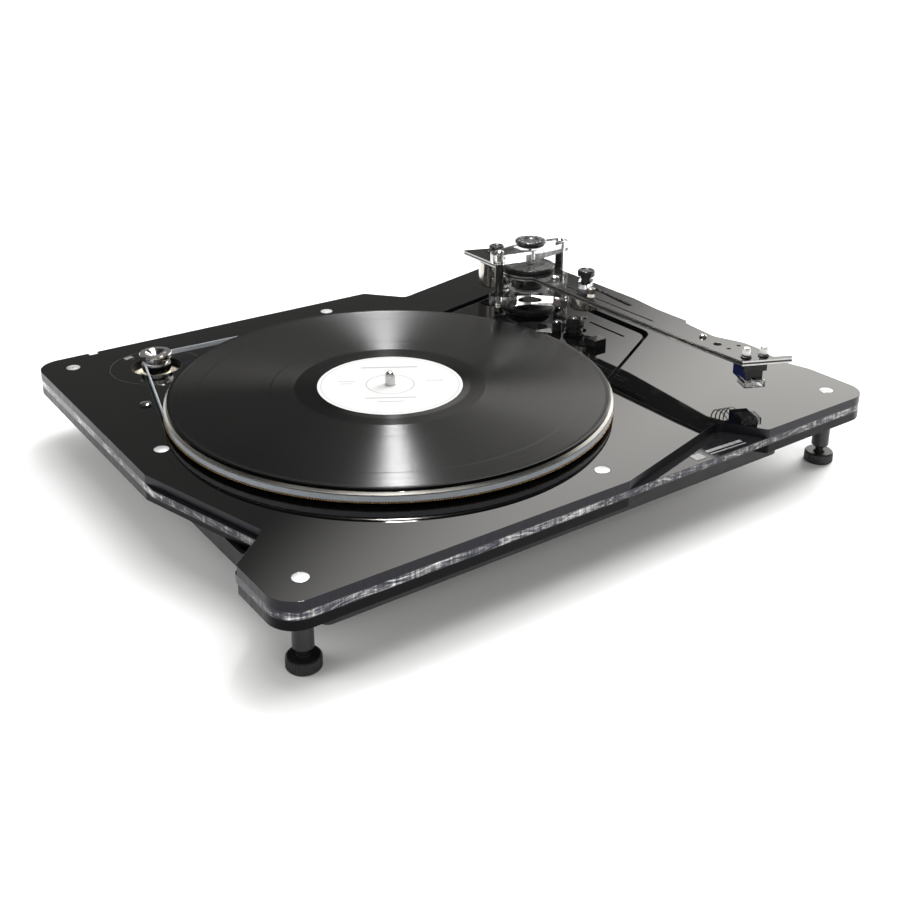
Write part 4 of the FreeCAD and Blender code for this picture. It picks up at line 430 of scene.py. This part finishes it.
def plated_metal(name, tone, roughness):
    """Bright plating with faint handling marks."""
    material, tree, shader = start_material(name, metallic=1.0)
    marks = use_group(tree, HANDLING, roughness=roughness, smudge=0.08, hairline=0.05, scale=160.0)
    colour = blend_colours(tree, marks["Mask"], scaled_tone(tone, 1.0), scaled_tone(tone, 0.9))
    feed(tree, shader, base_color=colour, roughness=marks["Roughness"])
    set_bump(tree, shader, marks["Height"], 0.1, 0.03 * MM, bevel=0.3 * MM)
    return material


def beam_skin_finish():
    """Black lacquered plates whose cut edges are left bright."""
    material, tree, shader = start_material("beam_skins", ior=1.5)
    brush = use_group(tree, BRUSHED, turn=0.0, fineness=2400.0)
    marks = use_group(tree, HANDLING, roughness=0.10, smudge=0.04, hairline=0.03, scale=30.0)
    edge = side_mask(tree)
    cut = mapped(tree, brush["Tone"], 0.0, 1.0, 0.20, 0.34)
    feed(tree, shader, base_color=blend_colours(tree, edge, grey(0.006), (0.42, 0.42, 0.41, 1)),
         metallic=edge, roughness=blend_values(tree, edge, marks["Roughness"], cut))
    height = maths(tree, "MULTIPLY", brush["Height"], edge)
    set_bump(tree, shader, height, 0.12, 0.04 * MM, bevel=0.2 * MM)
    return material


def vinyl_finish():
    """Pressed black vinyl: fine grooves, quiet gaps between tracks, smooth lead-out."""
    material, tree, shader = start_material(
        "vinyl", ior=1.45, anisotropic=1.0, specular_ior_level=0.22)
    rings = use_group(tree, TURNED, centre=tuple(SPINDLE), pitch=0.0011, variation=1.2)
    outward = maths(tree, "DIVIDE", rings["Radius"], RECORD_EDGE_R)
    ramp = place(tree, "ShaderNodeValToRGB", {0: outward})
    stops = ramp.color_ramp.elements
    ramp.color_ramp.interpolation = "CONSTANT"
    stops[0].position, stops[0].color = 0.0, grey(0.0)
    stops[1].position, stops[1].color = GROOVES_END, grey(0.0)
    for position, groove in GROOVE_STOPS:
        stops.new(position).color = grey(groove)
    grooved = ramp.outputs[0]
    tone = maths(tree, "MULTIPLY", rings["Mask"], grooved)
    colour = blend_colours(tree, tone, (0.0008, 0.0008, 0.0009, 1), (0.0022, 0.0022, 0.0023, 1))
    rough = maths(tree, "ADD", 0.12, maths(tree, "MULTIPLY", grooved, 0.115))
    uneven = maths(tree, "MULTIPLY", maths(tree, "SUBTRACT", rings["Mask"], 0.5), 0.07)
    feed(tree, shader, base_color=colour, roughness=maths(tree, "ADD", rough, uneven))
    follow_turning(tree, shader)
    height = maths(tree, "MULTIPLY", rings["Height"], grooved)
    set_bump(tree, shader, height, 0.02, 0.02 * MM)
    return material


def ring_line(tree, reach, radius, half_width):
    """1 on a thin printed or pressed circle."""
    away = maths(tree, "ABSOLUTE", maths(tree, "SUBTRACT", reach, radius))
    return maths(tree, "LESS_THAN", away, half_width)


def bar_mark(tree, across, along, place_at, half_size):
    """1 inside a small printed bar."""
    inside = [
        maths(tree, "LESS_THAN",
              maths(tree, "ABSOLUTE", maths(tree, "SUBTRACT", value, centre)), half)
        for value, centre, half in zip((across, along), place_at, half_size)]
    return maths(tree, "MULTIPLY", *inside)


def label_paper():
    """White paper label with a pressed ring, a fine printed ring and plain bars."""
    material, tree, shader = start_material("label_paper", roughness=0.6, ior=1.3)
    grain = use_group(tree, GRAIN, scale=1800.0, cloud_scale=50.0)
    rings = use_group(tree, TURNED, centre=tuple(SPINDLE), pitch=0.001, variation=0.0)
    paper = blend_colours(tree, grain["Cloud"], (0.43, 0.43, 0.425, 1), (0.48, 0.48, 0.475, 1))
    from_spindle = vector_maths(tree, "SUBTRACT", {0: own_point(tree), 1: tuple(SPINDLE)})
    spun = place(tree, "ShaderNodeVectorRotate", {
        "Vector": from_spindle, "Angle": LABEL_TURN}, rotation_type="Z_AXIS")
    spot = axes(tree, spun.outputs[0])
    printed = maths(tree, "MAXIMUM", ring_line(tree, rings["Radius"], 47.5 * MM, 0.14 * MM),
                    ring_line(tree, rings["Radius"], 16.5 * MM, 0.2 * MM))
    for place_at, half_size in LABEL_BARS:
        mark = bar_mark(tree, spot["X"], spot["Y"], place_at, half_size)
        printed = maths(tree, "MAXIMUM", printed, maths(tree, "MULTIPLY", mark, 0.55))
    feed(tree, shader, base_color=blend_colours(tree, printed, paper, grey(0.10)))
    groove = ring_line(tree, rings["Radius"], 35.5 * MM, 0.6 * MM)
    height = maths(tree, "SUBTRACT", maths(tree, "MULTIPLY", grain["Height"], 0.15), groove)
    set_bump(tree, shader, height, 0.6, 0.2 * MM)
    return material


def belt_finish():
    """Pale grey-blue flat rubber."""
    material, tree, shader = start_material("drive_belt", ior=1.5, roughness=0.38)
    grain = use_group(tree, GRAIN, scale=3000.0, cloud_scale=200.0)
    colour = blend_colours(tree, grain["Cloud"], (0.24, 0.26, 0.285, 1), (0.33, 0.355, 0.385, 1))
    feed(tree, shader, base_color=colour)
    set_bump(tree, shader, grain["Height"], 0.2, 0.05 * MM)
    return material


def knob_finish():
    """Black anodised knob with a ring of pale index dashes on its top."""
    material, tree, shader = start_material("bridge_knob", ior=1.5)
    grain = use_group(tree, GRAIN, scale=4200.0, cloud_scale=90.0)
    spot = axes(tree, vector_maths(tree, "SUBTRACT", {0: own_point(tree), 1: tuple(PIVOT)}))
    turn = maths(tree, "ARCTAN2", spot["Y"], spot["X"])
    wave = maths(tree, "SINE", maths(tree, "MULTIPLY", turn, KNOB_DASHES))
    dashes = maths(tree, "GREATER_THAN", wave, 0.55)
    rings = use_group(tree, TURNED, centre=tuple(PIVOT), pitch=0.0005, variation=0.4)
    ring = ring_line(tree, rings["Radius"], KNOB_RING_R, 0.5 * MM)
    upward = maths(tree, "SUBTRACT", 1.0, side_mask(tree))
    mark = maths(tree, "MULTIPLY", maths(tree, "MULTIPLY", dashes, ring), upward)
    base = blend_colours(tree, grain["Cloud"], grey(0.006), grey(0.012))
    feed(tree, shader, base_color=blend_colours(tree, mark, base, grey(0.45)),
         roughness=mapped(tree, grain["Cloud"], 0.3, 0.7, 0.22, 0.30))
    set_bump(tree, shader, rings["Height"], 0.1, 0.03 * MM, bevel=0.3 * MM)
    return material


def cartridge_finish():
    """Black moulding; the lower part of its long sides is dark blue."""
    material, tree, shader = start_material("cartridge", ior=1.5, specular_ior_level=0.25)
    grain = use_group(tree, GRAIN, scale=3000.0, cloud_scale=200.0)
    across = (math.cos(HEAD_TURN), math.sin(HEAD_TURN), 0.0)
    facing = vector_maths(tree, "DOT_PRODUCT", {0: face_normal(tree), 1: across}, output="Value")
    low = maths(tree, "LESS_THAN", axes(tree, own_point(tree))["Z"], BODY_SPLIT)
    flank = maths(tree, "GREATER_THAN", maths(tree, "ABSOLUTE", facing), 0.7)
    blue = maths(tree, "MULTIPLY", flank, low)
    black = blend_colours(tree, grain["Cloud"], grey(0.0015), grey(0.004))
    feed(tree, shader, base_color=blend_colours(tree, blue, black, (0.006, 0.012, 0.060, 1)),
         roughness=mapped(tree, grain["Cloud"], 0.3, 0.7, 0.26, 0.36))
    set_bump(tree, shader, grain["Height"], 0.15, 0.06 * MM, bevel=0.3 * MM)
    return material


def lead_finish(name, tone):
    """Thin insulated wire with a faint braid."""
    material, tree, shader = start_material(name, ior=1.5, roughness=0.4)
    braid = place(tree, "ShaderNodeTexWave", {
        "Vector": own_point(tree), "Scale": 900.0, "Distortion": 1.0}, wave_type="BANDS",
        bands_direction="DIAGONAL").outputs["Fac"]
    feed(tree, shader, base_color=blend_colours(
        tree, braid, scaled_tone(tone, 0.6), scaled_tone(tone, 1.0)))
    set_bump(tree, shader, braid, 0.3, 0.05 * MM)
    return material


def badge_finish():
    """Brushed grey foil with no wording."""
    material, tree, shader = start_material("blank_badge", metallic=0.7)
    brush = use_group(tree, BRUSHED, turn=0.3, fineness=3000.0)
    feed(tree, shader, base_color=blend_colours(tree, brush["Tone"], grey(0.12), grey(0.20)),
         roughness=mapped(tree, brush["Tone"], 0.0, 1.0, 0.3, 0.42))
    set_bump(tree, shader, brush["Height"], 0.1, 0.03 * MM)
    return material


def circuit_finish():
    """Green board with plain pale tracks."""
    material, tree, shader = start_material("circuit", ior=1.5, roughness=0.4)
    tracks = place(tree, "ShaderNodeTexBrick", {
        "Vector": own_point(tree), "Scale": 160.0, "Color1": (0.01, 0.10, 0.04, 1),
        "Color2": (0.012, 0.13, 0.05, 1), "Mortar": (0.25, 0.22, 0.12, 1), "Mortar Size": 0.03})
    feed(tree, shader, base_color=tracks.outputs["Color"])
    return material


FINISHES = [
    (black_acrylic("upper_plate", 0.030), ["top_plate"]),
    (black_acrylic("black_acrylic", 0.005), ["inner_board", "bottom_plate", "motor_plate"]),
    (anodised("speed_button", 0.10, 0.16, 0.7), ["speed_button"]),
    (clear_layer_with_painted_light(), ["clear_layer"]),
    # clear acrylic: the last number is the strength of the painted glow on the cut edges' glints
    (clear_acrylic("clear_acrylic", 0.45, 0.04), ["lower_bridge_plate", "upper_bridge_plate"]),
    (clear_acrylic("clear_moulding", 0.6, 0.5), ["trim_plate"]),
    (clear_acrylic("guard", 0.8, 0.0), ["stylus_guard"]),
    (moulded_black("tray_black", 0.006, 0.6, 1500.0), ["base_tray", "power_inlet"]),
    (moulded_black("gloss_moulding", 0.006, 0.18, 900.0), ["lead_block"]),
    (moulded_black("rubber", 0.012, 0.7, 1200.0), ["board_isolators", "platter_mat"]),
    (moulded_black("beam_core", 0.006, 0.4, 2000.0), ["beam_core"]),
    (cartridge_finish(), ["cartridge_body"]),
    (anodised("black_anodised", 0.011, 0.30, 0.2), [
        "leg_columns", "foot_left", "foot_right", "foot_rear", "arm_column"]),
    (anodised("black_satin", 0.009, 0.24, 0.0), [
        "bridge_posts", "yaw_block", "gimbal_yoke", "hub_disc", "counterweight_knob",
        "trim_knob", "cue_lift_body", "cue_lever", "cue_post"]),
    (knob_finish(), ["bridge_knob"]),
    (turned_metal("platter_alloy", (0.42, 0.405, 0.375), 0.24, SPINDLE, 0.5 * MM,
                  anisotropic=0.8), ["platter"]),
    (turned_metal("polished_alloy", (0.86, 0.86, 0.86), 0.10, MOTOR, 0.4 * MM), ["pulley"]),
    (turned_metal("motor_case", (0.42, 0.38, 0.30), 0.4, MOTOR, 0.6 * MM), ["motor_body"]),
    (plated_metal("nickel", (0.52, 0.50, 0.465), 0.14), [
        "flange_nuts", "bridge_screws", "beam_screws", "counterweight", "counterweight_screw",
        "trim_weight", "cartridge_screws", "phono_sockets"]),
    (plated_metal("bearing_steel", (0.62, 0.62, 0.62), 0.14), [
        "spindle", "bearing_housing", "thrust_ball", "motor_shaft", "pivot_pin",
        "gimbal_pins", "cantilever", "cue_plunger"]),
    (plated_metal("bronze", (0.55, 0.36, 0.18), 0.3), ["bearing_bush"]),
    (anodised("cap_steel", 0.42, 0.30, 0.5), ["layer_bolts", "pivot_seat"]),
    (beam_skin_finish(), ["beam_skins"]),
    (vinyl_finish(), ["vinyl_record"]),
    (label_paper(), ["record_label"]),
    (belt_finish(), ["drive_belt"]),
    (circuit_finish(), ["circuit_board"]),
]
LEAD_GOLD = lead_finish("lead_gold", (0.50, 0.32, 0.10))
LEAD_BLACK = lead_finish("lead_black", (0.02, 0.018, 0.016))
LEAD_RED = lead_finish("lead_red", (0.45, 0.02, 0.012))
BADGE = badge_finish()
BEAD_BRONZE = plated_metal("rim_bronze", (0.62, 0.38, 0.16), 0.25)
KNURL_NICKEL = plated_metal("knurl_nickel", (0.36, 0.34, 0.30), 0.22)
WASHER_BLACK = moulded_black("washer_black", 0.006, 0.35, 2400.0)


for finish, nodes in FINISHES:
    for node in nodes:
        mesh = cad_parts[node].data
        mesh.materials.clear()
        mesh.materials.append(finish)


# ---- pieces that only the visual model has -----------------------------------
WASHER_SIDES = 48
EDGE_BREAK = 0.08 * MM
HEADSHELL_SCREWS = 2
BEADS = 560
KNURLS = 26
LEAD_PAIRS = 4
LEAD_R = 0.26 * MM
LEAD_SPACING = 0.54 * MM
# each front badge: X, distance behind the front edge, half length, half width
FRONT_BADGES = ((68 * MM, 7.0 * MM, 4.2 * MM, 3.6 * MM), (93 * MM, 8.3 * MM, 15.5 * MM, 1.5 * MM),
                (93 * MM, 4.4 * MM, 15.5 * MM, 0.6 * MM))
FRONT_BADGE_LIE = (1, -0.05, 0)


def new_piece(name, mesh, body):
    piece = bpy.data.objects.new(name, mesh)
    bpy.context.scene.collection.objects.link(piece)
    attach(piece, body)
    return piece


def baked(maker):
    """Plain mesh of an object with modifiers or a curve; the object is removed."""
    bpy.context.scene.collection.objects.link(maker)
    graph = bpy.context.evaluated_depsgraph_get()
    graph.update()
    mesh = bpy.data.meshes.new_from_object(maker.evaluated_get(graph), depsgraph=graph)
    bpy.data.objects.remove(maker)
    return mesh


def joined_mesh(name, meshes, rounded=True):
    """One mesh from several, each keeping its own material; rounded gives soft shading."""
    whole = bmesh.new()
    materials = []
    for mesh in meshes:
        first = len(whole.faces)
        whole.from_mesh(mesh)
        whole.faces.ensure_lookup_table()
        if mesh.materials[0] not in materials:
            materials.append(mesh.materials[0])
        for face in whole.faces[first:]:
            face.material_index = materials.index(mesh.materials[0])
            face.smooth = rounded
    result = bpy.data.meshes.new(name)
    whole.to_mesh(result)
    whole.free()
    for material in materials:
        result.materials.append(material)
    return result


def wire_mesh(points, radius, material):
    """Thin round wire along a smooth line through the air between two fixed ends."""
    curve = bpy.data.curves.new("wire", "CURVE")
    curve.dimensions = "3D"
    curve.bevel_depth = radius
    curve.bevel_resolution = 3
    curve.use_fill_caps = True
    line = curve.splines.new("NURBS")
    line.points.add(len(points) - 1)
    for point, place_at in zip(line.points, points):
        point.co = (*place_at, 1.0)
    line.order_u = 3
    line.use_endpoint_u = True
    line.resolution_u = 10
    curve.materials.append(material)
    return baked(bpy.data.objects.new("wire", curve))


def geometry_tree(name, inputs):
    """Empty geometry tree with named inputs: tree, inputs, outputs, identifiers by name."""
    tree = bpy.data.node_groups.new(name, "GeometryNodeTree")
    tree.interface.new_socket("Geometry", in_out="INPUT", socket_type="NodeSocketGeometry")
    tree.interface.new_socket("Geometry", in_out="OUTPUT", socket_type="NodeSocketGeometry")
    identifiers = {}
    for label, kind in inputs:
        identifiers[label] = tree.interface.new_socket(
            label, in_out="INPUT", socket_type="NodeSocket" + kind).identifier
    start = tree.nodes.new("NodeGroupInput")
    end = tree.nodes.new("NodeGroupOutput")
    return tree, start.outputs, end.inputs, identifiers


def ring_of_studs_tree():
    """Small rounded studs side by side round an upright axis."""
    tree, given, result, identifiers = geometry_tree("ring_of_studs", [
        ("Centre", "Vector"), ("Ring Radius", "Float"), ("Count", "Int"),
        ("Stud Radius", "Float"), ("Stud Height", "Float"), ("Finish", "Material")])
    ring = place(tree, "GeometryNodeMeshCircle", {
        "Vertices": given["Count"], "Radius": given["Ring Radius"]})
    stud = place(tree, "GeometryNodeMeshUVSphere", {
        "Segments": 8, "Rings": 5, "Radius": given["Stud Radius"]})
    half_height = maths(tree, "MULTIPLY", given["Stud Height"], 0.5)
    tall = maths(tree, "DIVIDE", half_height, given["Stud Radius"])
    size = place(tree, "ShaderNodeCombineXYZ", {"X": 1.0, "Y": 1.0, "Z": tall})
    shaped = place(tree, "GeometryNodeTransform", {
        "Geometry": stud.outputs["Mesh"], "Scale": size.outputs[0]})
    spread = place(tree, "GeometryNodeInstanceOnPoints", {
        "Points": ring.outputs["Mesh"], "Instance": shaped.outputs[0]})
    moved = place(tree, "GeometryNodeTransform", {
        "Geometry": spread.outputs[0], "Translation": given["Centre"]})
    real = place(tree, "GeometryNodeRealizeInstances", {"Geometry": moved.outputs[0]})
    smooth_faces = place(tree, "GeometryNodeSetShadeSmooth", {"Geometry": real.outputs[0]})
    finished = place(tree, "GeometryNodeSetMaterial", {
        "Geometry": smooth_faces.outputs[0], "Material": given["Finish"]})
    tree.links.new(finished.outputs[0], result[0])
    return tree, identifiers


STUDS, STUD_INPUTS = ring_of_studs_tree()


def ring_of_studs(name, centre, radius, count, stud_radius, stud_height, material):
    """Plain mesh of the studs, from one vertex that carries the geometry tree."""
    mesh = bpy.data.meshes.new(name)
    mesh.from_pydata([(0, 0, 0)], [], [])
    maker = bpy.data.objects.new(name, mesh)
    modifier = maker.modifiers.new("studs", "NODES")
    modifier.node_group = STUDS
    values = {"Centre": tuple(centre), "Ring Radius": radius, "Count": count,
              "Stud Radius": stud_radius, "Stud Height": stud_height, "Finish": material}
    for label, value in values.items():
        modifier[STUD_INPUTS[label]] = value
    result = baked(maker)
    bpy.data.meshes.remove(mesh)
    return result


def rounded_slab(name, centre, along, half_length, half_width, low, high, material):
    """Thin plate with clipped corners and a broken top edge, laid along a direction."""
    along = Vector(along).normalized()
    aside = Vector((-along.y, along.x, 0))
    clip = min(half_length, half_width) * 0.25
    outline = [(half_length - clip, half_width), (half_length, half_width - clip)]
    outline = outline + [(x, -y) for x, y in reversed(outline)]
    outline = outline + [(-x, y) for x, y in reversed(outline)]
    shape = bmesh.new()
    rings = []
    for height, inset in ((low, 0.0), (high - EDGE_BREAK, 0.0), (high, EDGE_BREAK)):
        ring = []
        for x, y in outline:
            spot = Vector(centre) + along * (x - math.copysign(inset, x)) + aside * (
                y - math.copysign(inset, y))
            ring.append(shape.verts.new((spot.x, spot.y, height)))
        rings.append(ring)
    count = len(outline)
    for below, above in zip(rings, rings[1:]):
        for index in range(count):
            following = (index + 1) % count
            shape.faces.new((below[index], below[following], above[following], above[index]))
    shape.faces.new(rings[-1])
    shape.faces.new(list(reversed(rings[0])))
    bmesh.ops.recalc_face_normals(shape, faces=shape.faces)
    mesh = bpy.data.meshes.new(name)
    shape.to_mesh(mesh)
    shape.free()
    mesh.materials.append(material)
    return mesh


def turned_ring(name, centre, profile, material):
    """Closed ring from a profile of (radius, height) points, spun about an upright axis."""
    shape = bmesh.new()
    loops = []
    for step in range(WASHER_SIDES):
        turn = 2 * math.pi * step / WASHER_SIDES
        loops.append([shape.verts.new((centre[0] + radius * math.cos(turn),
                                       centre[1] + radius * math.sin(turn), height))
                      for radius, height in profile])
    count = len(profile)
    for here, following in zip(loops, loops[1:] + loops[:1]):
        for index in range(count):
            beyond = (index + 1) % count
            shape.faces.new((here[index], following[index], following[beyond], here[beyond]))
    bmesh.ops.recalc_face_normals(shape, faces=shape.faces)
    mesh = bpy.data.meshes.new(name)
    shape.to_mesh(mesh)
    shape.free()
    mesh.materials.append(material)
    return mesh


def screw_centres(node, count):
    """Middles of the separate screws in one node, found along their row."""
    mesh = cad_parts[node].data
    low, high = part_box(node)
    spots = [vertex.co for vertex in mesh.vertices]
    centres = []
    for index in range(count):
        left = low[0] + (high[0] - low[0]) * index / count
        right = low[0] + (high[0] - low[0]) * (index + 1) / count
        own = [spot for spot in spots if left <= spot.x <= right]
        centres.append(Vector([(min(s[k] for s in own) + max(s[k] for s in own)) / 2
                               for k in range(3)]))
    return centres


def platter_rim_beads():
    """Bronze beading on the lower outer edge of the platter's rim."""
    low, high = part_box("platter")
    radius = (high[0] - low[0]) / 2
    centre = (SPINDLE.x, SPINDLE.y, low[2] + 0.38 * MM)
    mesh = ring_of_studs("rim_beads", centre, radius - 0.05 * MM, BEADS, 0.6 * MM, 0.8 * MM,
                         BEAD_BRONZE)
    new_piece("rim_beads", mesh, "platter")


def headshell_screw_details():
    """Knurled rims and black washers of the two headshell screws."""
    knurl_middle = top_of("cartridge_screws") - 2.9 * MM
    washer_top = BEAM_TOP + 1.0 * MM
    washer_profile = [
        (2.75 * MM, BEAM_TOP), (3.7 * MM, BEAM_TOP), (3.7 * MM, washer_top - 0.2 * MM),
        (3.5 * MM, washer_top), (2.75 * MM, washer_top)]
    knurls = []
    washers = []
    for spot in screw_centres("cartridge_screws", HEADSHELL_SCREWS):
        knurls.append(ring_of_studs("knurl", (spot.x, spot.y, knurl_middle), 2.52 * MM, KNURLS,
                                    0.27 * MM, 4.6 * MM, KNURL_NICKEL))
        washers.append(turned_ring("washer", spot, washer_profile, WASHER_BLACK))
    new_piece("screw_knurls", joined_mesh("screw_knurls", knurls), "tonearm")
    new_piece("screw_washers", joined_mesh("screw_washers", washers), "tonearm")


def signal_leads():
    """Pairs of thin wires that loop from the cartridge pins down, back and up to the beam."""
    low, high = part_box("cartridge_leads")
    first = Vector((low[0] + 0.4 * MM, high[1] - 4.5 * MM, low[2] + 0.4 * MM))
    last = Vector((high[0] - 1.75 * MM, low[1] + 0.4 * MM, low[2] + 0.4 * MM))
    wires = []
    for index in range(LEAD_PAIRS):
        pin = first.lerp(last, index / (LEAD_PAIRS - 1))
        fan = (index - (LEAD_PAIRS - 1) / 2) * MM
        route = [(0, 0, 0), (1.2 * MM, 2.8 * MM, -0.2 * MM),
                 (2.6 * MM + fan * 0.5, 8.0 * MM, -4.6 * MM - fan * 0.7),
                 (1.6 * MM + fan * 0.9, 14.5 * MM, -5.4 * MM),
                 (-0.6 * MM + fan * 0.6, 17.0 * MM, 1.5 * MM),
                 (-1.2 * MM, 15.5 * MM, high[2] - pin.z)]
        for side, material in ((LEAD_SPACING / 2, LEAD_BLACK), (-LEAD_SPACING / 2, LEAD_GOLD)):
            points = [pin + Vector(step) + Vector((side, 0, side * 0.7)) for step in route]
            wires.append(wire_mesh(points, LEAD_R, material))
    piece = new_piece("signal_leads", joined_mesh("signal_leads", wires), "tonearm")
    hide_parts("cartridge_leads")


def arm_column_lead():
    """Short red wire beside the tonearm's column."""
    low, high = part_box("arm_column")
    base = Vector((high[0] - 1.0 * MM, low[1] + 5.0 * MM, DECK_TOP))
    route = [(0, 0, -0.5 * MM), (1.2 * MM, -1.4 * MM, 3.0 * MM), (1.8 * MM, -2.4 * MM, 6.0 * MM),
             (0.2 * MM, -1.2 * MM, 9.0 * MM), (-2.2 * MM, 1.0 * MM, 10.0 * MM),
             (-4.0 * MM, 2.6 * MM, 8.2 * MM)]
    mesh = wire_mesh([base + Vector(step) for step in route], 0.45 * MM, LEAD_RED)
    new_piece("column_lead", mesh, "plinth")


def blank_badges():
    """Plain foil square and two strips on the clear layer in the front notch, one by the motor."""
    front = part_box("clear_layer")[0][1]
    slabs = []
    for x, behind_front, half_length, half_width in FRONT_BADGES:
        slabs.append(rounded_slab("badge", (x, front + behind_front, 0), FRONT_BADGE_LIE,
                                  half_length, half_width, LAYER_HIGH, LAYER_HIGH + 0.25 * MM,
                                  BADGE))
    motor_badge = (MOTOR.x - 10.9 * MM, MOTOR.y + 26.8 * MM, 0)
    slabs.append(rounded_slab("badge", motor_badge, (0.9, 0.25, 0), 3.4 * MM, 2.2 * MM, DECK_TOP,
                              DECK_TOP + 0.2 * MM, BADGE))
    mesh = joined_mesh("blank_badges", slabs, rounded=False)
    new_piece("blank_badges", mesh, "plinth")


platter_rim_beads()
headshell_screw_details()
signal_leads()
arm_column_lead()
blank_badges()


# ---- stage -------------------------------------------------------------------
HEADING = math.radians(-35.5)
PITCH = 0.3497
ROLL = 0.0043
SENSOR_WIDTH = 36.0
FOCAL_RATIO = 1.3416222
FRAME_SHIFT = -0.15
CAMERA_FROM_SPINDLE = Vector((-0.41005, -0.64534, 0.32915))
AHEAD = Vector((-math.sin(HEADING), math.cos(HEADING), 0))
FLOOR_HALF = 7.0
STRIP_AHEAD = 0.62
STRIP_HEIGHT = 1.9
# each fill light: name, place, width, power in watts
FILLS = (("overhead_fill", (0.5, 0.3, 2.2), 2.4, 60), ("right_fill", (2.2, 0.3, 1.2), 1.6, 85),
         ("left_fill", (-1.9, 1.0, 1.1), 1.6, 28), ("front_fill", (-0.4, -2.2, 1.2), 1.6, 17))
PANEL_LEAN = 1.45
PANEL_LEVEL = 31.0
PANEL_GLOW = 2.7
HORIZON_GLOW = 1.2
FRONT_GLOW = 0.55
CEILING_GLOW = 0.02
WALL_GLOW = 0.17
FRONT_FLAGS = 11.0
WARM_WHITE = (1.0, 0.985, 0.95)


def pale_floor():
    """Matt pale floor that turns to plain white far from the deck."""
    mesh = bpy.data.meshes.new("floor")
    half = FLOOR_HALF
    mesh.from_pydata([(-half, -half, 0), (half, -half, 0), (half, half, 0), (-half, half, 0)],
                     [], [(0, 1, 2, 3)])
    floor = bpy.data.objects.new("floor", mesh)
    bpy.context.scene.collection.objects.link(floor)
    material, tree, shader = start_material(
        "floor", roughness=0.6, base_color=grey(0.86), specular_ior_level=0.2)
    reach = vector_maths(tree, "LENGTH", {0: own_point(tree)}, output="Value")
    far = smooth(tree, reach, 1.1, 2.0, 0.0, 1.0)
    feed(tree, shader, emission_color=blend_colours(tree, far, grey(0.0), grey(1.0)))
    shader.inputs["Emission Strength"].default_value = 1.0
    mesh.materials.append(material)


def area_light(name, position, target, size, power):
    data = bpy.data.lights.new(name, "AREA")
    data.energy = power
    data.size = size
    light = bpy.data.objects.new(name, data)
    light.location = position
    light.rotation_euler = (Vector(target) - Vector(position)).to_track_quat("-Z", "Y").to_euler()
    bpy.context.scene.collection.objects.link(light)
    return light


def add_lights():
    """A narrow strip that draws the record's bright wedges, and fills that gloss doesn't show."""
    over_record = Vector((SPINDLE.x, SPINDLE.y, 0))
    above = over_record + AHEAD * STRIP_AHEAD + Vector((0, 0, STRIP_HEIGHT))
    strip = area_light("strip_softbox", above, over_record, 0.15, 265)
    strip.data.shape = "RECTANGLE"
    strip.data.size_y = 0.8
    strip.visible_diffuse = False
    for name, position, size, power in FILLS:
        fill = area_light(name, position, (0, 0, 0), size, power)
        fill.visible_glossy = False


def studio_world():
    """Dim room with one broad bright panel to the rear right, a white horizon and front flags."""
    world = bpy.data.worlds.new("studio")
    bpy.context.scene.world = world
    world.use_nodes = True
    tree = world.node_tree
    background = tree.nodes["Background"]
    facing = place(tree, "ShaderNodeTexCoord").outputs["Generated"]
    way = axes(tree, facing)
    turn = maths(tree, "DEGREES", maths(tree, "ARCTAN2", way["X"], way["Y"]))
    height = maths(tree, "DEGREES", maths(tree, "ARCSINE", way["Z"]))
    lean = maths(tree, "MULTIPLY", maths(tree, "SUBTRACT", height, PANEL_LEVEL), PANEL_LEAN)
    panel = smooth(tree, maths(tree, "ADD", turn, lean), 23.0, 38.0, 0.0, PANEL_GLOW)
    panel = maths(tree, "MULTIPLY", panel, smooth(tree, height, 36.0, 33.0, 0.0, 1.0))
    panel = maths(tree, "MULTIPLY", panel, smooth(tree, turn, 120.0, 75.0, 0.0, 1.0))
    horizon = smooth(tree, height, 13.0, 6.0, 0.0, HORIZON_GLOW)
    ahead_part = vector_maths(tree, "DOT_PRODUCT", {0: facing, 1: tuple(AHEAD)}, output="Value")
    turns = maths(tree, "MULTIPLY", maths(tree, "RADIANS", turn), FRONT_FLAGS)
    flags = smooth(tree, maths(tree, "SINE", turns), -0.3, 0.3, 0.12, 1.0)
    front = smooth(tree, ahead_part, -0.2, -0.5, 0.0, FRONT_GLOW)
    front = maths(tree, "MULTIPLY", maths(tree, "MULTIPLY", front, flags),
                  smooth(tree, height, 70.0, 50.0, 0.0, 1.0))
    ceiling = smooth(tree, height, 30.0, 40.0, WALL_GLOW, CEILING_GLOW)
    tone = maths(tree, "ADD", maths(tree, "ADD", panel, horizon),
                 maths(tree, "ADD", front, ceiling))
    tint = vector_maths(tree, "SCALE", {0: WARM_WHITE, "Scale": tone})
    tree.links.new(tint, background.inputs["Color"])


def add_camera():
    data = bpy.data.cameras.new("camera")
    data.sensor_width = SENSOR_WIDTH
    data.lens = FOCAL_RATIO * SENSOR_WIDTH
    data.shift_y = FRAME_SHIFT
    camera = bpy.data.objects.new("camera", data)
    bpy.context.scene.collection.objects.link(camera)
    turn = (Matrix.Rotation(HEADING, 4, "Z") @ Matrix.Rotation(math.pi / 2 - PITCH, 4, "X")
            @ Matrix.Rotation(ROLL, 4, "Z"))
    base = Vector((SPINDLE.x, SPINDLE.y, RECORD_TOP))
    camera.matrix_world = Matrix.Translation(base + CAMERA_FROM_SPINDLE) @ turn
    bpy.context.scene.camera = camera


pale_floor()
studio_world()
add_lights()
add_camera()
bpy.context.scene.view_settings.view_transform = "Standard"
